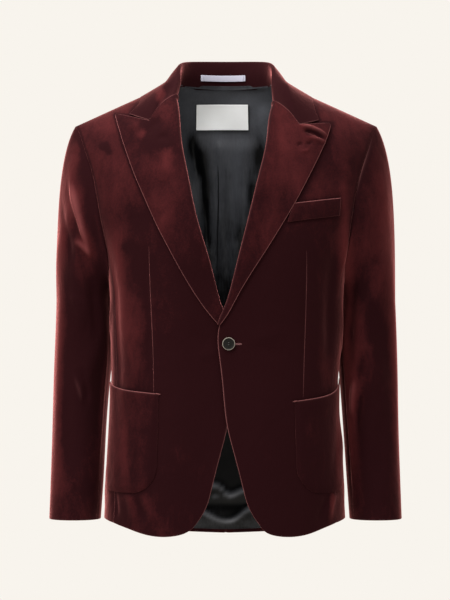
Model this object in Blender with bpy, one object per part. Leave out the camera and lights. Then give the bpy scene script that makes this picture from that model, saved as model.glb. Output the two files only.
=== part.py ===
"""Single-button velvet blazer with peak lapels, filled out and hollow.

Frame: metres, +Z up, the wearer faces -Y, the wearer's left is +X. The origin
lies between the shoulders at the height of the neck, where the wearer's
shoulders hold the garment. Tables are in millimetres and degrees.
"""

import math

import bpy
import numpy as np

MM = 0.001

# ---- cloth ----
WALL = 2.0          # velvet with its backing
LINING_WALL = 1.0   # satin lining, label and tape
SEAM_GAP = 0.4      # between two pieces at a seam
LIE = 0.8           # under a piece that lies on a panel
LAPEL_LIE = 1.6     # under a lapel or collar leaf
SLEEVE_GAP = {"top": 1.0, "under": 3.2}   # sleeve head clear of the armhole edge
UNDERLAP = 8.0      # how far the lower front lies behind the upper one

# ---- body: horizontal rings, sloped towards the shoulders ----
# height of the ring at the centre, half width, depth in front of and behind
# the side line, squareness of the ring, fall per unit of half width
SECTIONS = (
    # height  half   front  back   square slope
    (-700.0, 191.0, 129.0, 125.0, 2.35, 0.000),
    (-644.0, 188.5, 128.0, 123.0, 2.35, 0.000),
    (-536.0, 182.0, 124.0, 117.0, 2.40, 0.000),
    (-439.0, 178.0, 120.0, 106.0, 2.40, 0.000),
    (-364.0, 178.5, 119.0, 102.0, 2.40, 0.000),
    (-280.0, 181.0, 125.0, 108.0, 2.40, 0.000),
    (-199.0, 195.0, 126.0, 117.0, 2.40, 0.108),
    (-132.0, 210.0, 120.0, 121.0, 2.40, 0.197),
    (-62.0, 221.0, 105.0, 117.0, 2.35, 0.290),
    (6.0, 233.0, 78.0, 97.0, 2.30, 0.381),
    (46.0, 237.5, 47.0, 64.0, 2.20, 0.433),
    (63.0, 239.0, 19.0, 27.0, 2.10, 0.457),
    (67.0, 239.3, 0.0, 0.0, 2.00, 0.460),
)
RIDGE_SOFT = 30.0   # rounds the slope where it crosses the centre
CENTRE = 2.0        # x of the line on which the fronts button

# ---- front edge, from the cutaway corner up to the break of the lapel ----
FRONT_EDGE = (
    # height  past the centre line
    (-651.0, -50.0),
    (-630.0, -36.0),
    (-595.0, -24.0),
    (-538.0, -9.0),
    (-505.0, -0.5),
    (-435.0, 7.6),
    (-393.0, 12.6),
    (-364.0, 14.5),
)
# ---- roll line, from above the break up to the neck point ----
ROLL = (
    # height  right  left   (out from the middle)
    (-310.0, 9.5, 1.5),
    (-245.0, 26.3, 18.3),
    (-185.0, 43.8, 33.4),
    (-119.0, 57.5, 49.6),
    (-65.0, 67.4, 61.4),
    (-15.0, 72.0, 69.8),
)
NECK_POINT = 78.0   # half width of the neck at the shoulder seam
NECK_DIP = 25.0     # height of the neck seam at the centre back
# ---- hem, from the cutaway corner to the side, then round the back ----
FRONT_HEM = (
    # out     height
    (48.0, -651.0),
    (71.0, -665.0),
    (92.0, -668.0),
    (122.0, -665.5),
    (148.0, -658.0),
)
HEM = (
    # angle   height
    (64.0, -650.5),
    (90.0, -647.0),
    (116.0, -657.0),
    (150.0, -674.0),
    (180.0, -680.5),
)
SIDE_SEAM = {"hem": 64.0, "top": 74.0}    # front to side panel, degrees
BACK_SEAM = {"hem": 116.0, "top": 108.0}  # side panel to back, degrees

# ---- armhole: how far it opens each way from the side line ----
ARMHOLE = (
    # height  front  back   (degrees)
    (-281.0, 0.0, 0.0),
    (-276.0, 7.0, 7.0),
    (-260.0, 13.0, 13.0),
    (-228.0, 17.5, 18.0),
    (-190.0, 20.5, 22.0),
    (-132.0, 24.0, 26.0),
    (-62.0, 24.5, 27.0),
    (6.0, 22.0, 24.0),
    (50.0, 17.5, 18.5),
    (67.0, 14.0, 14.0),
)

# ---- sleeve rings below the armhole ----
SLEEVE = (
    # height  outer  inner  mid y  half depth
    (-310.0, 264.5, 178.0, 44.0, 70.0),
    (-364.0, 267.0, 174.8, 50.0, 69.0),
    (-431.0, 269.5, 178.2, 48.0, 65.0),
    (-510.0, 271.0, 185.5, 36.0, 58.0),
    (-580.0, 272.5, 190.0, 23.0, 52.0),
    (-649.0, 274.5, 194.5, 12.0, 48.0),
)
SLEEVE_SQUARE = 2.2
CAP_OUT = {"top": 94.0, "under": 16.0}     # first reach of the sleeve head
CAP_DOWN = {"top": 150.0, "under": 14.0}
CAP_END = {"top": 250.0, "under": 26.0}    # run into the upper-arm ring
SLEEVE_SEAMS = {"front": 148.0, "back": 250.0}  # degrees round from the top

# ---- lapels: outer edge from the break up to the point ----
LAPEL = {
    "right": (
        # out    height
        (2.0, -356.0),
        (12.0, -346.0),
        (40.8, -310.0),
        (79.3, -243.6),
        (103.5, -196.6),
        (127.7, -143.0),
        (152.5, -80.0),
        (170.0, -25.0),
    ),
    "left": (
        (-7.0, -342.0),
        (18.0, -303.0),
        (57.2, -238.0),
        (81.3, -199.6),
        (105.6, -158.6),
        (129.7, -112.7),
        (149.0, -73.0),
        (161.0, -40.0),
    ),
}
# top of the lapel: the gorge seam from the roll to the notch
GORGE = {
    "right": {"roll": (75.0, 0.6), "mid": (96.0, -10.5), "notch": (116.0, -38.0), "leaf": (148.0, -27.0)},
    "left": {"roll": (72.0, -10.0), "mid": (90.0, -20.0), "notch": (111.0, -44.6), "leaf": (141.0, -37.0)},
}
ROLL_RISE = 3.5     # how far the lapel stands up where it turns
ROLL_REACH = 22.0

# ---- collar, stations from the front to the centre back ----
COLLAR = (
    # station     fold x, y, z          crease x, y, z        edge angle, ring height
    ("front",    (73.5, -27.0, 29.5), (97.0, -25.0, 26.5), (32.5, 53.0)),
    ("shoulder", (70.0, 18.0, 56.0), (94.0, 8.0, 32.0), (146.5, 66.8)),
    ("side",     (52.0, 50.0, 62.5), (66.0, 58.0, 40.0), (158.0, 48.0)),
    ("back",     (0.0, 70.0, 64.0), (0.0, 82.0, 42.0), (180.0, 28.0)),
)
COLLAR_SWELL = 2.0  # rise of the fall between the fold and the shoulder
STAND_STEP = 3.2    # the stand lies this far inside the fall
STAND_FOOT = 31.0   # height of its lower edge
STAND_LEAN = 0.36   # how far the stand leans out towards its foot
STAND_START = 3     # rows of the collar that the lapels hold, with no stand

# ---- pockets ----
POCKET = {
    # top at the front, top at the rear, foot, front edge out, rear edge angle
    "right": {"top_front": -452.0, "top_rear": -440.0, "foot": -603.0, "front": 101.0, "rear": 83.0, "corner": 42.0},
    "left": {"top_front": -463.0, "top_rear": -441.0, "foot": -603.0, "front": 103.0, "rear": 83.0, "corner": 42.0},
}
WELT = {"front": 97.0, "rear": 173.5, "front_top": -166.0, "rear_top": -156.5,
        "front_foot": -192.5, "rear_foot": -181.5, "slant": 5.0}

# ---- trim ----
LINING_CLEAR = 2.0   # lining clear of the back
LINING_SHORT = 6.5   # lining ends this far above the hem
LABEL = {"left": 36.0, "right": -48.0, "top": 0.0, "foot": -41.0}
HANGER = {"left": 30.0, "right": -39.0, "low": 0.07, "high": 0.38}
BUTTON = {"x": 4.0, "z": -376.0, "radius": 9.8, "thick": 3.6, "rim": 1.6, "dish": 1.0}

# ---- largest folds of the body: soft ridges and troughs ----
FOLDS = (
    # side  angle  height  half width  half length  lean   rise
    (-1, 52.0, -330.0, 8.0, 130.0, 2.0, 3.0),
    (-1, 66.0, -345.0, 6.0, 120.0, 2.0, -3.0),
    (1, 68.0, -250.0, 6.0, 110.0, 3.0, 3.0),
    (1, 58.0, -330.0, 7.0, 120.0, -2.0, -2.5),
    (-1, 118.0, -380.0, 8.0, 140.0, 4.0, 3.5),
    (1, 122.0, -390.0, 8.0, 140.0, -4.0, 3.5),
    (-1, 148.0, -400.0, 9.0, 150.0, 3.0, -3.0),
    (1, 150.0, -410.0, 9.0, 150.0, -3.0, -3.0),
)
SLEEVE_FOLDS = (
    # side  round  height  half width  half length  twist  rise
    (-1, 40.0, -190.0, 20.0, 90.0, 30.0, 3.0),
    (-1, 78.0, -330.0, 18.0, 80.0, -30.0, -3.5),
    (-1, 110.0, -400.0, 18.0, 70.0, 25.0, 3.0),
    (1, 48.0, -210.0, 20.0, 95.0, -25.0, 3.0),
    (1, 82.0, -345.0, 18.0, 80.0, 30.0, -3.5),
    (1, 112.0, -420.0, 18.0, 70.0, -20.0, 3.0),
    (-1, 290.0, -350.0, 20.0, 80.0, 25.0, -3.5),
    (1, 290.0, -360.0, 20.0, 80.0, -25.0, -3.5),
)

# ---- how finely each piece is divided ----
ROWS_SEAM, ROWS_HOLE, ROWS_UNDER = 9, 8, 6
RIDGE_CLOSER = 1.55   # rows lie closer together towards the shoulder ridge
LAPEL_CLOSER = 1.35
FRONT_COLUMNS, BACK_COLUMNS, NECK_COLUMNS = 9, 8, 3
CAP_ROWS, ARM_ROWS = 6, 7
LAPEL_ROWS, LAPEL_COLUMNS, GORGE_COLUMNS = 14, 6, 3
COLLAR_ROWS = 24

COLOURS = {
    # red, green, blue, roughness
    "velvet": (0.060, 0.012, 0.014, 0.75),
    "lining": (0.030, 0.030, 0.034, 0.35),
    "label": (0.60, 0.60, 0.59, 0.60),
    "tape": (0.80, 0.80, 0.82, 0.55),
    "button": (0.020, 0.019, 0.020, 0.30),
}


class Spline:
    """Smooth curve through rows of values at rising stations."""

    def __init__(self, stations, rows):
        self.t, self.y = np.asarray(stations, float), np.asarray(rows, float)
        if self.y.ndim == 1:
            self.y = self.y[:, None]
        n, step = len(self.t), np.diff(self.t)[:, None]
        system, right = np.eye(n), np.zeros_like(self.y)
        for i in range(1, n - 1):
            a, b = step[i - 1, 0], step[i, 0]
            system[i, i - 1 : i + 2] = a, 2 * (a + b), b
            right[i] = 6 * ((self.y[i + 1] - self.y[i]) / b - (self.y[i] - self.y[i - 1]) / a)
        self.bend = np.linalg.solve(system, right)

    def __call__(self, t):
        t = np.asarray(t, float)
        i = np.clip(np.searchsorted(self.t, t) - 1, 0, len(self.t) - 2)
        h = (self.t[i + 1] - self.t[i])[..., None]
        b = (t - self.t[i])[..., None] / h
        a = 1 - b
        bend = (a**3 - a) * self.bend[i] + (b**3 - b) * self.bend[i + 1]
        return a * self.y[i] + b * self.y[i + 1] + bend * h * h / 6


def along(points):
    """Distance along a line of points, from its start."""
    points = np.asarray(points, float)
    return np.concatenate([[0], np.cumsum(np.linalg.norm(np.diff(points, axis=0), axis=1))])


def smooth_line(rows, count, closer=1.0):
    """A smooth line through the rows, read at evenly spaced points, or closer together at the end."""
    station = along(rows)
    curve = Spline(station, rows)
    fine = curve(np.linspace(0, station[-1], 400))
    return even(fine, count, closer)


def even(line, count, closer=1.0):
    """A line of points read again at evenly spaced distances."""
    line = np.asarray(line, float)
    station = along(line)
    want = station[-1] * (1 - (1 - np.linspace(0, 1, count)) ** closer)
    return np.stack([np.interp(want, station, line[:, k]) for k in range(line.shape[1])], axis=1)


def ease(t):
    t = np.clip(t, 0, 1)
    return t * t * (3 - 2 * t)


def ridge_steps(count):
    return 1 - (1 - np.linspace(0, 1, count)) ** RIDGE_CLOSER


def row_heights(low, mid, high):
    """Heights of a panel's rows along one edge, as its seam and armhole have them."""
    lower = np.linspace(low, mid, ROWS_SEAM + 1)
    return np.concatenate([lower, mid + (high - mid) * ridge_steps(ROWS_HOLE + 1)[1:]])


# ---------------------------------------------------------------- body form
TABLE = np.array(SECTIONS)
STATION = along(TABLE[:, [0, 2]])
RING = Spline(STATION, TABLE)
TOP = STATION[-1]


def ring_at_height(height):
    """Station of the ring whose middle is at this height."""
    low, high = np.zeros_like(np.asarray(height, float)), np.full_like(np.asarray(height, float), TOP)
    for _ in range(44):
        mid = (low + high) / 2
        under = RING(mid)[..., 0] < height
        low, high = np.where(under, mid, low), np.where(under, high, mid)
    return (low + high) / 2


def locate(x, z):
    """Angle and station of the body's front point seen at x, z."""
    x, z = np.asarray(x, float), np.asarray(z, float)
    low, high = np.zeros_like(z), np.full_like(z, TOP)
    for _ in range(44):
        mid = (low + high) / 2
        row = RING(mid)
        under = row[..., 0] - row[..., 5] * np.sqrt(x * x + RIDGE_SOFT**2) < z
        low, high = np.where(under, mid, low), np.where(under, high, mid)
    station = (low + high) / 2
    row = RING(station)
    reach = np.clip(np.abs(x) / row[..., 1], 0, 1) ** (row[..., 4] / 2)
    return np.degrees(np.arcsin(reach)) * np.sign(x), station


def plain_body(angle, station):
    row = RING(station)
    turn = np.radians(angle)
    sine, cosine, power = np.sin(turn), np.cos(turn), 2 / row[..., 4]
    x = row[..., 1] * np.sign(sine) * np.abs(sine) ** power
    depth = np.where(cosine > 0, row[..., 2], row[..., 3])
    y = -depth * np.sign(cosine) * np.abs(cosine) ** power
    z = row[..., 0] - row[..., 5] * np.sqrt(x * x + RIDGE_SOFT**2)
    return np.stack([x, y, z], axis=-1)


def body_normal(angle, station):
    """Unit vector out of the body."""
    step_a, step_s = 0.4, 1.5
    angle, station = np.asarray(angle, float), np.asarray(station, float)
    round_way = plain_body(angle + step_a, station) - plain_body(angle - step_a, station)
    up = plain_body(angle, np.minimum(station + step_s, TOP)) - plain_body(angle, station - step_s)
    out = np.cross(round_way, up)
    out /= np.maximum(np.linalg.norm(out, axis=-1, keepdims=True), 1e-9)
    out[..., 1] *= ease((TOP - station) / 14)
    return out / np.maximum(np.linalg.norm(out, axis=-1, keepdims=True), 1e-9)


def body_fold(angle, station):
    """Rise of the cloth over the plain body."""
    height = RING(station)[..., 0]
    rise = np.zeros_like(height)
    for side, mid, level, half, length, lean, amount in FOLDS:
        off = (angle * side - mid - lean * (height - level) / length) / half
        run = (height - level) / length
        rise = rise + amount * np.exp(-off * off) * np.exp(-run * run)
    return rise


def body(angle, station, lift=0.0):
    angle, station = np.asarray(angle, float), np.asarray(station, float)
    rise = body_fold(angle, station) + lift
    return plain_body(angle, station) + body_normal(angle, station) * rise[..., None]


def underlap(points):
    """How far the wearer's right front lies in where the left one covers it."""
    return -UNDERLAP * ease((points[..., 0] + 92) / 80) * ease((-212 - points[..., 2]) / 75)


def front(side, angle, station, lift=0.0):
    """A point of the left (+1) or right (-1) front."""
    if side > 0:
        return body(angle, station, lift)
    return body(angle, station, underlap(plain_body(angle, station)) + lift)


# ---------------------------------------------------------------- grids
def coons(left, right, bottom, top):
    """Grid of rows and columns inside four boundary lines."""
    left, right, bottom, top = (np.asarray(line, float) for line in (left, right, bottom, top))
    u = np.linspace(0, 1, len(bottom))[None, :, None]
    v = np.linspace(0, 1, len(left))[:, None, None]
    ruled = (1 - u) * left[:, None] + u * right[:, None] + (1 - v) * bottom[None] + v * top[None]
    corners = (1 - u) * (1 - v) * left[0] + u * (1 - v) * right[0] + (1 - u) * v * left[-1] + u * v * right[-1]
    return ruled - corners


def inset(grid, amount, sides):
    """Draws the named sides of a grid in, along its own lines."""
    grid = np.array(grid, float)
    for side in sides:
        view = {"bottom": grid, "top": grid[::-1], "left": grid.swapaxes(0, 1), "right": grid.swapaxes(0, 1)[::-1]}[side]
        way = view[1] - view[0]
        view[0] += way / np.maximum(np.linalg.norm(way, axis=-1, keepdims=True), 1e-9) * amount
    return grid


def grid_normal(grid):
    across, up = np.gradient(grid, axis=1), np.gradient(grid, axis=0)
    out = np.cross(across, up)
    return out / np.maximum(np.linalg.norm(out, axis=-1, keepdims=True), 1e-9)


ROOT = None


def add(name, points, faces, finish):
    points = np.asarray(points, float)
    fan = [(f[0], f[k], f[k + 1]) for f in faces for k in range(1, len(f) - 1)]
    fan = np.array(fan)
    if np.linalg.det(points[fan]).sum() < 0:
        faces = [tuple(reversed(f)) for f in faces]
    mesh = bpy.data.meshes.new(name)
    mesh.from_pydata((points * MM).tolist(), [], faces)
    mesh.shade_smooth()
    mesh.set_sharp_from_angle(angle=math.radians(50))
    piece = bpy.data.objects.new(name, mesh)
    bpy.context.scene.collection.objects.link(piece)
    piece.parent = ROOT
    mesh.materials.append(MATERIALS[finish])
    return piece


def wall(name, outer, inner, finish):
    """Closed piece of cloth between two grids of the same size."""
    rows, columns = outer.shape[:2]
    points = np.concatenate([outer.reshape(-1, 3), inner.reshape(-1, 3)])
    deep = rows * columns

    def at(i, j):
        return i * columns + j

    faces = []
    for i in range(rows - 1):
        for j in range(columns - 1):
            a, b, c, d = at(i, j), at(i, j + 1), at(i + 1, j + 1), at(i + 1, j)
            short = np.linalg.norm(points[a] - points[c]) < np.linalg.norm(points[b] - points[d])
            for face in ((a, b, c), (a, c, d)) if short else ((a, b, d), (b, c, d)):
                faces.append(face)
                faces.append(tuple(k + deep for k in reversed(face)))
    rim = [at(0, j) for j in range(columns)] + [at(i, columns - 1) for i in range(1, rows)]
    rim += [at(rows - 1, j) for j in range(columns - 2, -1, -1)] + [at(i, 0) for i in range(rows - 2, 0, -1)]
    for a, b in zip(rim, rim[1:] + rim[:1]):
        faces.append((b, a, a + deep, b + deep))
    return add(name, points, faces, finish)


# ---------------------------------------------------------------- boundaries
def seam_line(seam, low, high):
    """A long body seam from its hem height up to its top height."""
    height = np.linspace(low, high, ROWS_SEAM + 1)
    part = (height - low) / (high - low)
    return np.stack([seam["hem"] + (seam["top"] - seam["hem"]) * part, ring_at_height(height)], axis=1)


def hem_height(angle):
    table = np.array(HEM)
    return np.interp(angle, table[:, 0], table[:, 1])


def hole_line(column, way):
    """One half of the armhole, from the underarm to the shoulder, as angle and station."""
    table = np.array(ARMHOLE)
    height, opening = table[:, 0], table[:, column]
    form = plain_body(90 + way * opening, ring_at_height(height))
    station = along(form)
    curve = Spline(station, np.stack([height, opening], axis=1))(np.linspace(0, station[-1], 300))
    curve[:, 0] = np.clip(curve[:, 0], table[0, 0], table[-1, 0])
    return np.stack([90 + way * curve[:, 1], ring_at_height(curve[:, 0])], axis=1)


def split_hole(line, angle, way, upper, lower):
    """The armhole half cut where a body seam meets it."""
    spot = int(np.argmax(way * (line[:, 0] - angle) > 0))
    form = plain_body(line[:, 0], line[:, 1])

    def read(a, b, steps):
        station = along(form[a:b])
        return np.stack([np.interp(steps * station[-1], station, line[a:b, k]) for k in range(2)], axis=1)

    return read(0, spot + 1, np.linspace(0, 1, lower)), read(spot, len(line), ridge_steps(upper))


FRONT_HOLE_LOW, FRONT_HOLE = split_hole(hole_line(1, -1), SIDE_SEAM["top"], -1, ROWS_HOLE + 1, ROWS_UNDER // 2 + 1)
BACK_HOLE_LOW, BACK_HOLE = split_hole(hole_line(2, 1), BACK_SEAM["top"], 1, ROWS_HOLE + 1, ROWS_UNDER // 2 + 1)
FRONT_SEAM_LINE = seam_line(
    {"hem": SIDE_SEAM["hem"], "top": FRONT_HOLE[0, 0]}, hem_height(SIDE_SEAM["hem"]), float(RING(FRONT_HOLE[0, 1])[0]))
BACK_SEAM_LINE = seam_line(
    {"hem": BACK_SEAM["hem"], "top": BACK_HOLE[0, 0]}, hem_height(BACK_SEAM["hem"]), float(RING(BACK_HOLE[0, 1])[0]))
SHOULDER_TIP = FRONT_HOLE[-1]
MID_ROW = -262.0    # where the rows of an edge begin to lie closer
NECK_ANGLE = math.degrees(math.asin((NECK_POINT / TABLE[-1, 1]) ** (TABLE[-1, 4] / 2)))


def front_grid(side):
    """Angle and station of a front: its own edge, the roll, the seam and armhole."""
    name = "left" if side > 0 else "right"
    column = 2 if side > 0 else 1
    edge = [(-(lap - CENTRE * side), height) for height, lap in FRONT_EDGE]
    ridge = float(plain_body(NECK_ANGLE, TOP)[2])
    roll = [(row[column], row[0]) for row in ROLL] + [(NECK_POINT, ridge)]
    line = np.array(edge + roll)
    height = row_heights(line[0, 1], MID_ROW, ridge)
    out = Spline(line[:, 1], line[:, 0])(height)[:, 0]
    left = np.stack(locate(out, height), axis=1)
    left[-1] = NECK_ANGLE, TOP
    right = np.concatenate([FRONT_SEAM_LINE, FRONT_HOLE[1:]])
    hem = np.array([left[0]] * 1 + [np.array(locate(x, z)) for x, z in FRONT_HEM[1:]] + [right[0]])
    bottom = even(smooth_line(hem * (1, 1), 60), FRONT_COLUMNS + 1)
    top = np.stack([np.linspace(NECK_ANGLE, SHOULDER_TIP[0], FRONT_COLUMNS + 1), np.full(FRONT_COLUMNS + 1, TOP)], axis=1)
    return coons(left, right, bottom, top), name


def back_grid():
    right = np.concatenate([BACK_SEAM_LINE, BACK_HOLE[1:]])
    low, high = hem_height(180.0), NECK_DIP + RING(ring_at_height(NECK_DIP + 12))[5] * RIDGE_SOFT
    height = row_heights(low, MID_ROW, float(high))
    left = np.stack([np.full(len(height), 180.0), ring_at_height(height)], axis=1)
    span = np.linspace(180.0, right[0, 0], BACK_COLUMNS + 1)
    bottom = np.stack([span, ring_at_height(hem_height(span))], axis=1)
    out = np.linspace(0, NECK_POINT, NECK_COLUMNS + 1)[1:-1]
    angle, station = locate(out, NECK_DIP + 4.0 * (out / NECK_POINT) ** 2)
    neck = [left[-1]] + [np.array((180 - a, s)) for a, s in zip(angle, station)] + [np.array((180 - NECK_ANGLE, TOP))]
    shoulder = np.linspace(180 - NECK_ANGLE, right[-1, 0], BACK_COLUMNS - NECK_COLUMNS + 1)[1:]
    top = np.array(neck + [np.array((a, TOP)) for a in shoulder])
    return coons(left, right, bottom, top)


def side_grid():
    top = np.concatenate([FRONT_HOLE_LOW[::-1], BACK_HOLE_LOW[1:]])
    span = np.linspace(FRONT_SEAM_LINE[0, 0], BACK_SEAM_LINE[0, 0], len(top))
    bottom = np.stack([span, ring_at_height(hem_height(span))], axis=1)
    return coons(FRONT_SEAM_LINE, BACK_SEAM_LINE, bottom, top)


def panel(name, grid, side, form, sides, thick=WALL, lift=0.0, finish="velvet"):
    angle, station = grid[..., 0] * side, grid[..., 1]
    outer = inset(form(angle, station, lift), SEAM_GAP / 2, sides)
    inner = outer - body_normal(angle, station) * thick
    return wall(name, outer, inner, finish)


def build_body():
    for side in (1, -1):
        grid, name = front_grid(side)
        panel("front_" + name, grid, side, lambda a, s, k: front(side, a, s, k), ("top", "right"))
        panel("side_" + name, side_grid(), side, body, ("left", "right", "top"))
        panel("back_" + name, back_grid(), side, body, ("left", "right", "top"))


# ---------------------------------------------------------------- sleeves
def armhole_loop(side):
    """The whole armhole from the shoulder, down the front, round and up the back."""
    front_half = np.concatenate([FRONT_HOLE_LOW, FRONT_HOLE[1:]])[::-1]
    back_half = np.concatenate([BACK_HOLE_LOW, BACK_HOLE[1:]])
    loop = np.concatenate([front_half, back_half[1:-1]])
    form = body(loop[:, 0] * side, loop[:, 1]) * np.array([side, 1.0, 1.0])
    low = len(front_half) - 1
    down, up = along(form[: low + 1]), along(np.concatenate([form[low:], form[:1]]))
    turn = np.concatenate([180 * down / down[-1], 180 + 180 * up[1:-1] / up[-1]])
    return loop, form, turn


def arm_ring(row, turn):
    height, outer, inner, mid, depth = (row[..., k] for k in range(5))
    sine, cosine, power = np.sin(np.radians(turn)), np.cos(np.radians(turn)), 2 / SLEEVE_SQUARE
    x = (outer + inner) / 2 + (outer - inner) / 2 * np.sign(cosine) * np.abs(cosine) ** power
    y = mid - depth * np.sign(sine) * np.abs(sine) ** power
    return np.stack([x, y, np.broadcast_to(height, x.shape)], axis=-1)


def sleeve_form(side, turn, form, out):
    """Rows of the sleeve from the armhole to the cuff, for the +X arm."""
    table = np.array(SLEEVE)
    station = along(table[:, [0]])
    rings = Spline(station, table)
    share = ((1 + np.cos(np.radians(turn))) / 2)[:, None]

    def blend(sizes):
        return sizes["under"] + (sizes["top"] - sizes["under"]) * share

    first, last = form + out * blend(SLEEVE_GAP), arm_ring(table[0], turn)

    leave = blend(CAP_OUT) * np.array([1.0, 0, 0]) + blend(CAP_DOWN) * np.array([0, 0, -1.0])
    enter = blend(CAP_END) * np.array([0, 0, -1.0])
    grid = []
    for t in np.linspace(0, 1, CAP_ROWS + 1):
        grid.append(
            (2 * t**3 - 3 * t**2 + 1) * first + (t**3 - 2 * t**2 + t) * leave
            + (3 * t**2 - 2 * t**3) * last + (t**3 - t**2) * enter)
    for s in np.linspace(0, station[-1], ARM_ROWS + 1)[1:]:
        grid.append(arm_ring(rings(s), turn))
    grid = np.array(grid)
    closed = np.concatenate([grid[:, -1:], grid, grid[:, :1]], axis=1)
    normal = grid_normal(closed)[:, 1:-1]
    rise = np.zeros(grid.shape[:2])
    for owner, mid, level, half, length, twist, amount in SLEEVE_FOLDS:
        if owner == side:
            run = (grid[..., 2] - level) / length
            off = (turn[None] - mid - twist * run) / half
            rise += amount * np.exp(-off * off - run * run)
    rise *= ease(np.linspace(0, 6, len(grid)))[:, None]
    return grid + normal * rise[..., None], normal


def build_sleeves():
    for side, name in ((1, "left"), (-1, "right")):
        loop, form, turn = armhole_loop(side)
        normal = body_normal(loop[:, 0], loop[:, 1])
        tangent = np.roll(form, -1, axis=0) - np.roll(form, 1, axis=0)
        out = np.cross(normal, tangent)
        out /= np.linalg.norm(out, axis=1, keepdims=True)
        out *= np.sign((out * (form.mean(axis=0) - form)).sum(axis=1, keepdims=True))
        share = ((1 + np.cos(np.radians(turn))) / 2)[:, None]
        outer, away = sleeve_form(side, turn, form, out)
        away[0] = away[0] * (1 - share) + normal * share
        away /= np.linalg.norm(away, axis=-1, keepdims=True)
        inner = outer - away * WALL
        front_cut = int(np.argmin(np.abs(turn - SLEEVE_SEAMS["front"])))
        back_cut = int(np.argmin(np.abs(turn - SLEEVE_SEAMS["back"])))
        upper = np.concatenate([np.arange(back_cut, len(turn)), np.arange(0, front_cut + 1)])
        under = np.arange(front_cut, back_cut + 1)
        for label, pick in (("top", upper), ("under", under)):
            mirror = np.array([side, 1.0, 1.0])
            pair = [inset(grid[:, pick] * mirror, SEAM_GAP * 2, ("left", "right")) for grid in (outer, inner)]
            wall(f"sleeve_{label}_{name}", pair[0], pair[1], "velvet")


# ---------------------------------------------------------------- lapels and collar
def gorge_line(name):
    gorge = GORGE[name]
    return smooth_line([gorge["roll"], gorge["mid"], gorge["notch"]], GORGE_COLUMNS + 1)


def lapel_grid(name):
    """x and z of a lapel, rows from the break up to the gorge."""
    column = 2 if name == "left" else 1
    gorge = GORGE[name]
    edge = np.array(LAPEL[name])
    lowest = edge[0] - (7.0, 0.0)
    roll = [tuple(lowest)] + [(row[column], row[0]) for row in ROLL] + [gorge["roll"]]
    left = smooth_line(roll, LAPEL_ROWS + 1, LAPEL_CLOSER)
    right = smooth_line(edge, LAPEL_ROWS + 1, LAPEL_CLOSER)
    seam = gorge_line(name)
    peak = even([gorge["notch"], tuple(edge[-1])], LAPEL_COLUMNS - GORGE_COLUMNS + 1)
    top = np.concatenate([seam, peak[1:]])
    bottom = even([left[0], right[0]], LAPEL_COLUMNS + 1)
    return coons(left, right, bottom, top)


def roll_rise(grid):
    """Lift of a lapel near its roll line, less towards the break."""
    across = np.linalg.norm(grid - grid[:, :1], axis=-1)
    climb = ease(np.linspace(0, 2.2, len(grid)))[:, None]
    return ROLL_RISE * climb * np.exp(-((across / ROLL_REACH) ** 2))


def build_lapels():
    for side, name in ((1, "left"), (-1, "right")):
        grid = inset(lapel_grid(name), SEAM_GAP, ("left", "top"))
        angle, station = locate(grid[..., 0] * side, grid[..., 1])
        outer = front(side, angle, station, LAPEL_LIE + WALL + roll_rise(grid))
        inner = outer - body_normal(angle, station) * WALL
        wall("lapel_" + name, outer, inner, "velvet")


def collar_stations(side):
    """Lines of the collar from the fold to the outer edge, at each station of one side."""
    name = "left" if side > 0 else "right"
    gorge = GORGE[name]
    leaf = even([gorge["notch"], gorge["leaf"]], GORGE_COLUMNS + 1)
    line = np.concatenate([gorge_line(name), leaf[1:]])
    across = np.linalg.norm(line - line[0], axis=-1)
    angle, station = locate(line[:, 0], line[:, 1])
    rows = [body(angle, station, LAPEL_LIE + WALL + ROLL_RISE * np.exp(-((across / ROLL_REACH) ** 2)))]
    for _, fold, crease, (angle, height) in COLLAR:
        edge = body(angle, ring_at_height(height), LAPEL_LIE + WALL)
        upper, lower = even([fold, crease], GORGE_COLUMNS + 1), even([crease, edge], GORGE_COLUMNS + 1)
        swell = np.sin(np.linspace(0, math.pi, GORGE_COLUMNS + 1))[:, None]
        upper = upper + swell * np.array([0, 0, COLLAR_SWELL])
        rows.append(np.concatenate([upper, lower[1:]]))
    rows = np.array(rows)
    rows[..., 0] *= side
    return rows


def collar_grid():
    """Lines right round the neck, from the right gorge to the left."""
    right, left = collar_stations(-1), collar_stations(1)
    whole = np.concatenate([right, left[::-1][1:]])
    return np.array([smooth_line(whole[:, k], COLLAR_ROWS + 1) for k in range(whole.shape[1])]).swapaxes(0, 1)


def build_collar():
    outer = collar_grid()
    fold = outer[:, 0].copy()
    outer = inset(outer, SEAM_GAP * 1.5, ("bottom", "top"))
    normal = grid_normal(outer)
    if normal[COLLAR_ROWS // 2, 2, 1] < 0:
        normal = -normal
    for spot, name, side in ((0, "right", -1), (-1, "left", 1)):
        gorge = GORGE[name]
        line = np.concatenate([gorge_line(name), even([gorge["notch"], gorge["leaf"]], GORGE_COLUMNS + 1)[1:]])
        normal[spot] = body_normal(*locate(line[:, 0] * side, line[:, 1]))
    wall("collar_fall", outer, outer - normal * WALL, "velvet")
    return fold


def build_stand(fold):
    """The stand inside the fold, from its top down to the neck seam."""
    keep = slice(STAND_START, len(fold) - STAND_START)
    face = fold[keep]
    toward = np.array([0.0, 12.0, 0.0]) - face
    toward[:, 2] = 0
    toward /= np.linalg.norm(toward, axis=1, keepdims=True)
    face = face + toward * STAND_STEP - np.array([0, 0, 1.0])
    foot = face.copy()
    foot[:, 2] = np.minimum(face[:, 2] - 3.0, STAND_FOOT)
    foot -= toward * STAND_LEAN * (face[:, 2:] - foot[:, 2:])
    grid = np.array([foot * (1 - t) + face * t for t in np.linspace(0, 1, 4)])
    wall("collar_stand", grid, grid + toward[None] * WALL, "velvet")
    return grid, -toward




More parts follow.
